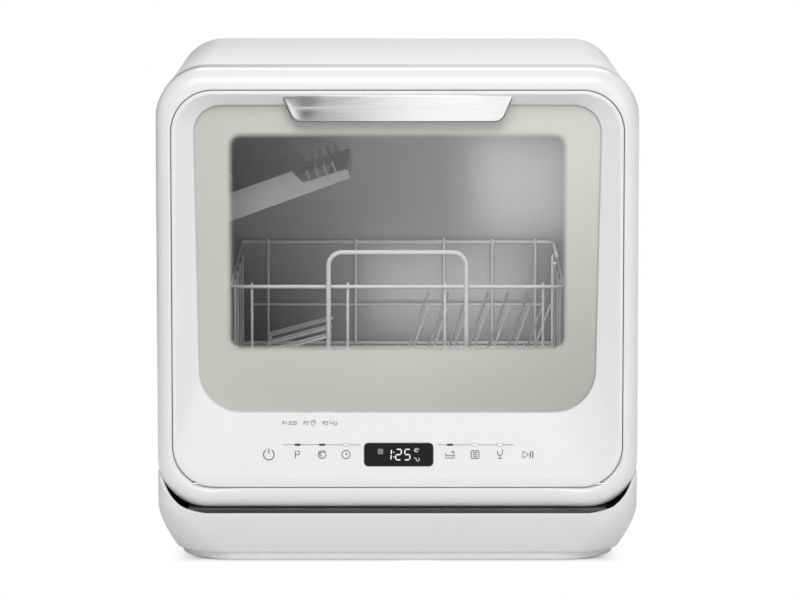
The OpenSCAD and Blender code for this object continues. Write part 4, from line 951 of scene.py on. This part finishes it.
def key_prints():
    """Key symbols, and over them two lines with a lamp for each key but the outer ones."""
    parts = []
    for key, x in KEYS.items():
        width = (0.8 if key in ("power", "start") else 0.62) * MM
        for line in icon_strokes()[key]:
            line = np.asarray(line, float) + [x, KEY_S]
            closed = np.allclose(line[0], line[-1])
            parts.append(stroke(line[:-1] if closed else line, width, closed))
    print_piece("KeySymbols", parts, "key_ink")
    print_piece("KeyLines", [stroke([(a, LINE_S), (b, LINE_S)], 0.35 * MM, lift=0.08 * MM)
                             for a, b in ((-100, -32), (34.5, 102))], "line_and_shadow_ink")
    lamps = {key: slope_box(x, LINE_S, *LAMP_SIZE) for key, x in KEYS.items()
             if key not in ("power", "start")}
    for name, lit, finish in (("KeyLampsOn", True, "key_ink"), ("KeyLampsOff", False, "lit_white")):
        print_piece(name, [patch(corners * MM, 0.0, 0.22 * MM, 0.06 * MM) for key, corners in lamps.items()
                           if (key in LIT_KEYS) == lit], finish)
    # Dark strokes round the white lamp marks: a painted shadow outline
    print_piece("KeyLampPaintedShadows", [stroke(outline(corners, 0, 5, 3), 0.3 * MM, True, 0.2 * MM)
                                for key, corners in lamps.items() if key not in LIT_KEYS], "line_and_shadow_ink")


def label_prints():
    """Programme labels: their letters, and a clock, a cup and a drop as line drawings."""
    size, pitch = 2.7, 2.35
    lines = [np.asarray(line, float) * size + [x + k * pitch, LABEL_S]
             for text, x in (("P1", -100.2), ("ECO", -94.6), ("P2", -81.8), ("P3", -65.2))
             for k, letter in enumerate(text) for line in LETTERS[letter]]
    s = LABEL_S
    lines += [arc(-73.6, s + 1.5, 2.1, -30, 300, 24), [(-73.6, s + 2.7), (-73.6, s + 1.5), (-72.4, s + 1.3)],
              arc(-57.6, s + 2.2, 1.5, 180, 360, 12), [(-59.1, s + 3.4), (-59.1, s + 2.2)],
              [(-56.1, s + 3.4), (-56.1, s + 2.2)], arc(-54.0, s + 0.6, 1.2, 180, 500, 14)]
    print_piece("ProgramLabels", [stroke(line, LABEL_LINE) for line in lines], "line_and_shadow_ink")


def display():
    """Display window with its rim, lit digits, two marks at their right and a dim grid at their left."""
    plate = slope_box(1.0, KEY_S, 30.0, 10.0, 3.6) * MM
    place("DisplayWindow", patch(plate, -0.6 * MM, 0.35 * MM, 0.25 * MM), "door", "display", "display_window")
    print_piece("DisplayRim", [stroke(outline(plate, 0.2 * MM), 0.5 * MM, True, 0.12 * MM, 1.0)], "display_rim")
    parts, high, wide, slant, lift = [], 4.6, 4.6, 0.06, 0.42 * MM
    for digit, x in (("1", -10.4), ("2", -1.7), ("5", 6.0)):
        for name in SEGMENTS[digit]:
            a, b = (np.array([x + wide * u + slant * high * v, KEY_S - high + high * v])
                    for u, v in SEGMENT_ENDS[name])
            gap = 0.5 * (b - a) / np.hypot(*(b - a))
            parts.append(stroke([a + gap, b - gap], 0.95 * MM, lift=lift))
    parts += [stroke([(-3.2, KEY_S + s - 0.45), (-3.1, KEY_S + s + 0.45)], 0.9 * MM, lift=lift)
              for s in (-2.0, 2.0)]
    parts += [stroke(line, 0.4 * MM, lift=lift)
              for line in (arc(16.6, KEY_S + 3.9, 1.6, 60, 330, 14),
                           [(14.4, KEY_S + 3.2), (19.0, KEY_S + 4.9)],
                           arc(17.6, KEY_S - 4.2, 1.4, 150, 420, 14),
                           [(14.4, KEY_S - 2.6), (16.2, KEY_S - 3.2)])]
    print_piece("DisplayDigits", parts, "lit_white")
    grid = slope_box(-14.9, KEY_S + 2.7, 2.3, 2.3, 0.5) * MM
    print_piece("DisplayGrid", [patch(grid, 0.36 * MM, 0.46 * MM)], "grid_ink")
    print_piece("DisplayMark", [stroke([(-16.4, KEY_S + s), (-13.4, KEY_S + s)], 0.3 * MM, lift=0.50 * MM)
                                for s in (1.5, 2.7, 3.9)], "line_and_shadow_ink")


REFINED = (
    ("chassis_pan", "ChassisPan", "dark_plastic", 0.0),
    ("rear_panel", "RearPanel", "base_plastic", 0.0), ("rear_screws", "RearScrews", "steel", 0.2),
    ("foot_pads", "FootPads", "rubber", 0.5), ("tub", "Tub", "tub_steel", 0.0),
    ("tub_gasket", "TubGasket", "rubber", 0.0), ("window_tunnel", "WindowTunnel", "dark_plastic", 0.0),
    ("door_liner", "DoorLiner", "tub_steel", 0.0), ("door_screws", "DoorScrews", "steel", 0.2),
    ("latch_hook", "LatchHook", "steel", 0.2), ("door_strike", "DoorStrike", "steel", 0.2),
    ("dispenser", "Dispenser", "grey_plastic", 0.4), ("dispenser_lid", "DispenserLid", "base_plastic", 0.3),
    ("rack_feet", "RackFeet", "grey_plastic", 0.5), ("cup_shelf", "CupShelf", "grey_plastic", 0.25),
    ("shelf_brackets", "ShelfBrackets", "grey_plastic", 0.3), ("spray_arm", "SprayArm", "grey_plastic", 0.8),
    ("arm_hub", "ArmHub", "grey_plastic", 0.4), ("ceiling_sprinkler", "CeilingSprinkler", "grey_plastic", 0.8),
    ("sprinkler_hub", "SprinklerHub", "steel", 0.3), ("filter_cup", "FilterCup", "grey_plastic", 0.3),
    ("tub_lamp", "TubLamp", "lamp_lens", 0.3), ("water_inlet", "WaterInlet", "base_plastic", 0.4),
    ("drain_spout", "DrainSpout", "dark_plastic", 0.4), ("cable_gland", "CableGland", "dark_plastic", 0.4),
)


def fittings():
    """Smooth copies of the fittings, and the finish of every CAD node that stays."""
    body_of = {n: body for body, nodes in frame["record"]["behaviour"]["bodies"].items() for n in nodes}
    for node, name, slot, bevel in REFINED:
        refined(node, name, body_of[node], slot, bevel * MM)
    for part in frame["record"]["subparts"]:
        for held in frame["nodes"][part["node"]].material_slots:
            held.material = finishes()[part["material_slot"]]


# Stage

CAMERA_AWAY, CAMERA_Z, CAMERA_TILT, CAMERA_SHIFT = 3.885, 0.7063, 6.94, 0.0031
MIDDLE = (0, 0, 0.25)
# Name, place, aim, width and height, watts
LAMPS = (
    ("Key", (-0.2, -2.2, 2.3), MIDDLE, (2.2, 1.4), 29),
    ("Fill", (1.6, -3.0, 1.3), MIDDLE, (1.0, 1.0), 3),
    ("Back", (0.2, 1.6, 2.4), MIDDLE, (2.0, 1.2), 15),
    ("TubGlow", (0.125, 0.05, 0.285), (0.10, 0.19, 0.25), (0.10, 0.10), 0.05),
    ("TubLow", (0.05, 0.045, 0.18), (0.04, 0.19, 0.14), (0.16, 0.08), 0.05),
)


def seen_straight(tree):
    """1 for rays from the camera and those that glass passes on, 0 once metal or gloss has mirrored them."""
    ray = add(tree, "ShaderNodeLightPath")
    passed = out(ray, "Is Transmission Ray") * out(ray, "Glossy Depth").below(0.5)
    return out(ray, "Is Camera Ray").larger(passed)


def mirrored_level(aside):
    """Brightness that reflections find at the sideways slope x / y: dark on the left, bright on the right."""
    return aside.remap(-0.11, 0.02, 0.10, 1.12, True) - aside.remap(0.05, 0.12, 0.0, 0.25, True)


def soft_world():
    """Pale room, brightest in front and above and darker at the sides; seen straight it is plain white.

    Reflections find it dark on the left of the camera and bright on its right.
    """
    world = bpy.data.worlds.new("Studio")
    bpy.context.scene.world = world
    world.use_nodes = True
    tree = world.node_tree
    tree.nodes.clear()
    x, y, z = axes_of(out(add(tree, "ShaderNodeTexCoord"), "Generated"))
    level = z.remap(-0.4, 1.0, 0.34, 0.58) + y.remap(-0.25, -1.0, 0.0, 0.42, True)
    level = level * abs(x).remap(0.3, 1.0, 1.0, 0.48, True)
    glossy = out(add(tree, "ShaderNodeLightPath"), "Is Glossy Ray")
    level = level * (mirrored_level(x) * 1.3).larger(1.0 - glossy)
    lamp = add(tree, "ShaderNodeBackground", {"Color": (1, 1, 1, 1), "Strength": level})
    seen = add(tree, "ShaderNodeBackground", {"Color": (1, 1, 1, 1), "Strength": 1.0})
    add(tree, "ShaderNodeOutputWorld", {"Surface": mix_shaders(tree, seen_straight(tree), lamp, seen)})


def area_light(name, spot, aim, size, watts):
    light = bpy.data.lights.new(name, "AREA")
    light.shape, light.size, light.size_y = "RECTANGLE", size[0], size[1]
    light.energy = watts
    lamp = bpy.data.objects.new(name, light)
    bpy.context.scene.collection.objects.link(lamp)
    lamp.location = spot
    way = Vector(aim) - Vector(spot)
    lamp.rotation_euler = way.to_track_quat("-Z", "Y").to_euler()


def white_floor(colour):
    """Matt floor that keeps the shadow beside the object and is seen as plain white further out.

    The distance outside the footprint is max(|x| - 0.19, |y| - 0.20); white sets in from -0.03 to 0.012 m.
    Metal and gloss find the background's brightness between 0.4 and 1.5 m.
    """
    material, tree, shader, result = new_material("Pale floor", Base_Color=rgba(colour), Roughness=0.8)
    x, y, _ = axes_of(object_position(tree))
    outside = (abs(x) - 0.19).larger(abs(y) - 0.20)
    straight, glossy = seen_straight(tree), out(add(tree, "ShaderNodeLightPath"), "Is Glossy Ray")
    mirrored = mirrored_level(x / abs(y).larger(0.5))
    plain = add(tree, "ShaderNodeEmission", {"Color": (1, 1, 1, 1), "Strength": mirrored.larger(straight)})
    near = outside.remap(-0.03, 0.012, 0.0, 1.0, True) * straight
    far = outside.remap(0.4, 1.5, 0.0, 1.0, True) * glossy
    connect(result, {"Surface": mix_shaders(tree, near.larger(far), shader, plain)})
    return material


def stage():
    """Pale floor, soft lamps and the photograph's camera, 3.885 m before the front and 0.706 m high."""
    sizes, colours = settings()
    points = np.array([(-20, -20, 0), (20, -20, 0), (20, 20, 0), (-20, 20, 0)], float)
    mesh = bpy.data.meshes.new("Floor")
    mesh.from_pydata(points.tolist(), [], [(0, 1, 2, 3)])
    floor = bpy.data.objects.new("Floor", mesh)
    bpy.context.scene.collection.objects.link(floor)
    mesh.materials.append(white_floor(tuple(colours.floor)))
    soft_world()
    for lamp in LAMPS:
        area_light(*lamp)
    lens = bpy.data.cameras.new("Camera")
    lens.sensor_width, lens.lens = 36.0, sizes.focal
    lens.shift_x = CAMERA_SHIFT
    lens.clip_end = 50
    camera = bpy.data.objects.new("Camera", lens)
    bpy.context.scene.collection.objects.link(camera)
    camera.location = (0, FRONT_Y - CAMERA_AWAY, CAMERA_Z)
    camera.rotation_euler = (math.radians(90 - CAMERA_TILT), 0, 0)
    bpy.context.scene.camera = camera
    bpy.context.scene.view_settings.view_transform = "Standard"


# Properties, operators and panel

def length(name, description, default):
    return FloatProperty(name=name, description=description, default=default, min=0.0, unit="LENGTH")


def colour(name, description, default):
    return FloatVectorProperty(name=name, description=description, default=default, size=3, min=0.0, max=1.0,
                               subtype="COLOR")


class DishwasherSizes(bpy.types.PropertyGroup):
    """Sizes that scene pieces take besides the frame's own."""
    seam: length("Seam", "Gap between door and frame", 0.7 * MM)
    mouth_round: length("Opening edge", "Rounding of the frame's edge at the door", 1.5 * MM)
    door_round: length("Door edge", "Rounding of the door's outer edge", 1.6 * MM)
    hinge_round: length("Hinge edge", "Rounding of the opening's edge at the hinges", 5.0 * MM)
    dot_fade: length("Dot band", "Width of the dotted edge of the window", 6.5 * MM)
    dot_reach: length("Dot reach", "How far the dots reach past the clear window", 3.5 * MM)
    dot_pitch: length("Dot pitch", "Distance between the dots", 2.0 * MM)
    rack_wire: length("Rack wire", "Diameter of the rack's wires", 2.4 * MM)
    rack_rail: length("Rack rail", "Diameter of the rack's rail", 3.4 * MM)
    rack_hoop: length("Rack loop", "Diameter of the rack's front loop", 4.2 * MM)
    focal: FloatProperty(name="Focal length", description="Camera lens in millimetres", default=202.7, min=10.0)


class DishwasherColours(bpy.types.PropertyGroup):
    """Base colours of the finishes."""
    white: colour("White", "Glossy white moulding", (0.87, 0.875, 0.87))
    base: colour("Base", "Satin base and back", (0.80, 0.805, 0.80))
    sheet: colour("Sheet", "Painted cover", (0.90, 0.905, 0.91))
    dark: colour("Dark", "Chassis and gap", (0.032, 0.036, 0.036))
    grey: colour("Grey", "Shelf and spray arms", (0.56, 0.56, 0.56))
    wire: colour("Wire", "Coated rack wires", (0.78, 0.79, 0.79))
    tub: colour("Tub", "Stainless sheet", (0.28, 0.28, 0.28))
    handle: colour("Handle", "Satin silver handle", (0.95, 0.95, 0.95))
    glass: colour("Glass", "Tint of the panes", (0.985, 0.985, 0.98))
    silver: colour("Silver", "Print behind the glass", (0.69, 0.685, 0.665))
    floor: colour("Floor", "Stage floor", (0.88, 0.88, 0.88))


def settings():
    scene = bpy.context.scene
    return scene.dishwasher_sizes, scene.dishwasher_colours


def finishes():
    """The materials, built once and then found by slot name."""
    if not FINISHES:
        sizes, colours = settings()
        window = window_corners()
        reach = window[:, 2:] + sizes.dot_reach
        high, low = window[1, :2] + reach[1], window[3, :2] - reach[3]
        FINISHES.update(make_materials(colours))
        FINISHES["silver_print"] = silver_print(
            tuple(colours.silver), ((high[0] - low[0]) / 2, (high[1] - low[1]) / 2, (high[1] + low[1]) / 2,
                                    reach[0, 0]), sizes.dot_fade, sizes.dot_pitch)
        FINISHES["key_ink"] = flat_ink("Dark key ink", (0.045, 0.047, 0.05))
        FINISHES["line_and_shadow_ink"] = flat_ink("Grey line and shadow ink", (0.11, 0.11, 0.115))
        FINISHES["lit_white"] = flat_ink("Lit white segment", (0.9, 0.92, 0.93), 0.35)
        FINISHES["display_rim"] = flat_ink("Display rim", (0.16, 0.16, 0.165))
        FINISHES["grid_ink"] = flat_ink("Dim grid segment", (0.30, 0.30, 0.31))
    return FINISHES


FINISHES = {}


def operator(key, label, description, *builders):
    """Operator class that runs one building step."""
    def execute(self, context):
        for build in builders:
            build()
        return {"FINISHED"}

    return type("DISHWASHER_OT_" + key, (bpy.types.Operator,), {
        "__doc__": description, "bl_idname": "dishwasher." + key, "bl_label": label, "execute": execute})


OPERATORS = (
    operator("frame", "Frame, Cover and Base", "Build the front frame, the sheet cover and the base",
             front_frame, cabinet_cover, base_tray, plinth),
    operator("door", "Door, Glass and Handle", "Build the door's moulding, panes and handle",
             door_moulding, door_panes, handle),
    operator("prints", "Control Prints", "Lay the key symbols, labels and the display on the control slope",
             key_prints, label_prints, display),
    operator("rack", "Dish Rack", "Bend the rack from its wires",
             rack_floor, rack_fence, rack_loop, plate_tines, cup_loops),
    operator("fittings", "Fittings and Finishes", "Refine the fittings and give every other part its finish",
             fittings),
    operator("stage", "Stage", "Lay the floor and set lamps, room and camera", stage),
)


class DISHWASHER_PT_panel(bpy.types.Panel):
    """Lists the sizes, the colours and the building steps"""
    bl_idname = "DISHWASHER_PT_panel"
    bl_label = "Countertop Dishwasher"
    bl_space_type = "VIEW_3D"
    bl_region_type = "UI"
    bl_category = "Dishwasher"

    def draw(self, context):
        for group in settings():
            for key in group.__annotations__:
                self.layout.prop(group, key)
        for operator in OPERATORS:
            self.layout.operator(operator.bl_idname)


CLASSES = (DishwasherSizes, DishwasherColours, *OPERATORS, DISHWASHER_PT_panel)


def register():
    for each in CLASSES:
        bpy.utils.register_class(each)
    bpy.types.Scene.dishwasher_sizes = PointerProperty(type=DishwasherSizes)
    bpy.types.Scene.dishwasher_colours = PointerProperty(type=DishwasherColours)


def unregister():
    del bpy.types.Scene.dishwasher_colours
    del bpy.types.Scene.dishwasher_sizes
    for each in reversed(CLASSES):
        bpy.utils.unregister_class(each)


def main():
    register()
    for operator in OPERATORS:
        space, name = operator.bl_idname.split(".")
        getattr(getattr(bpy.ops, space), name)()


if __name__ == "__main__":
    main()
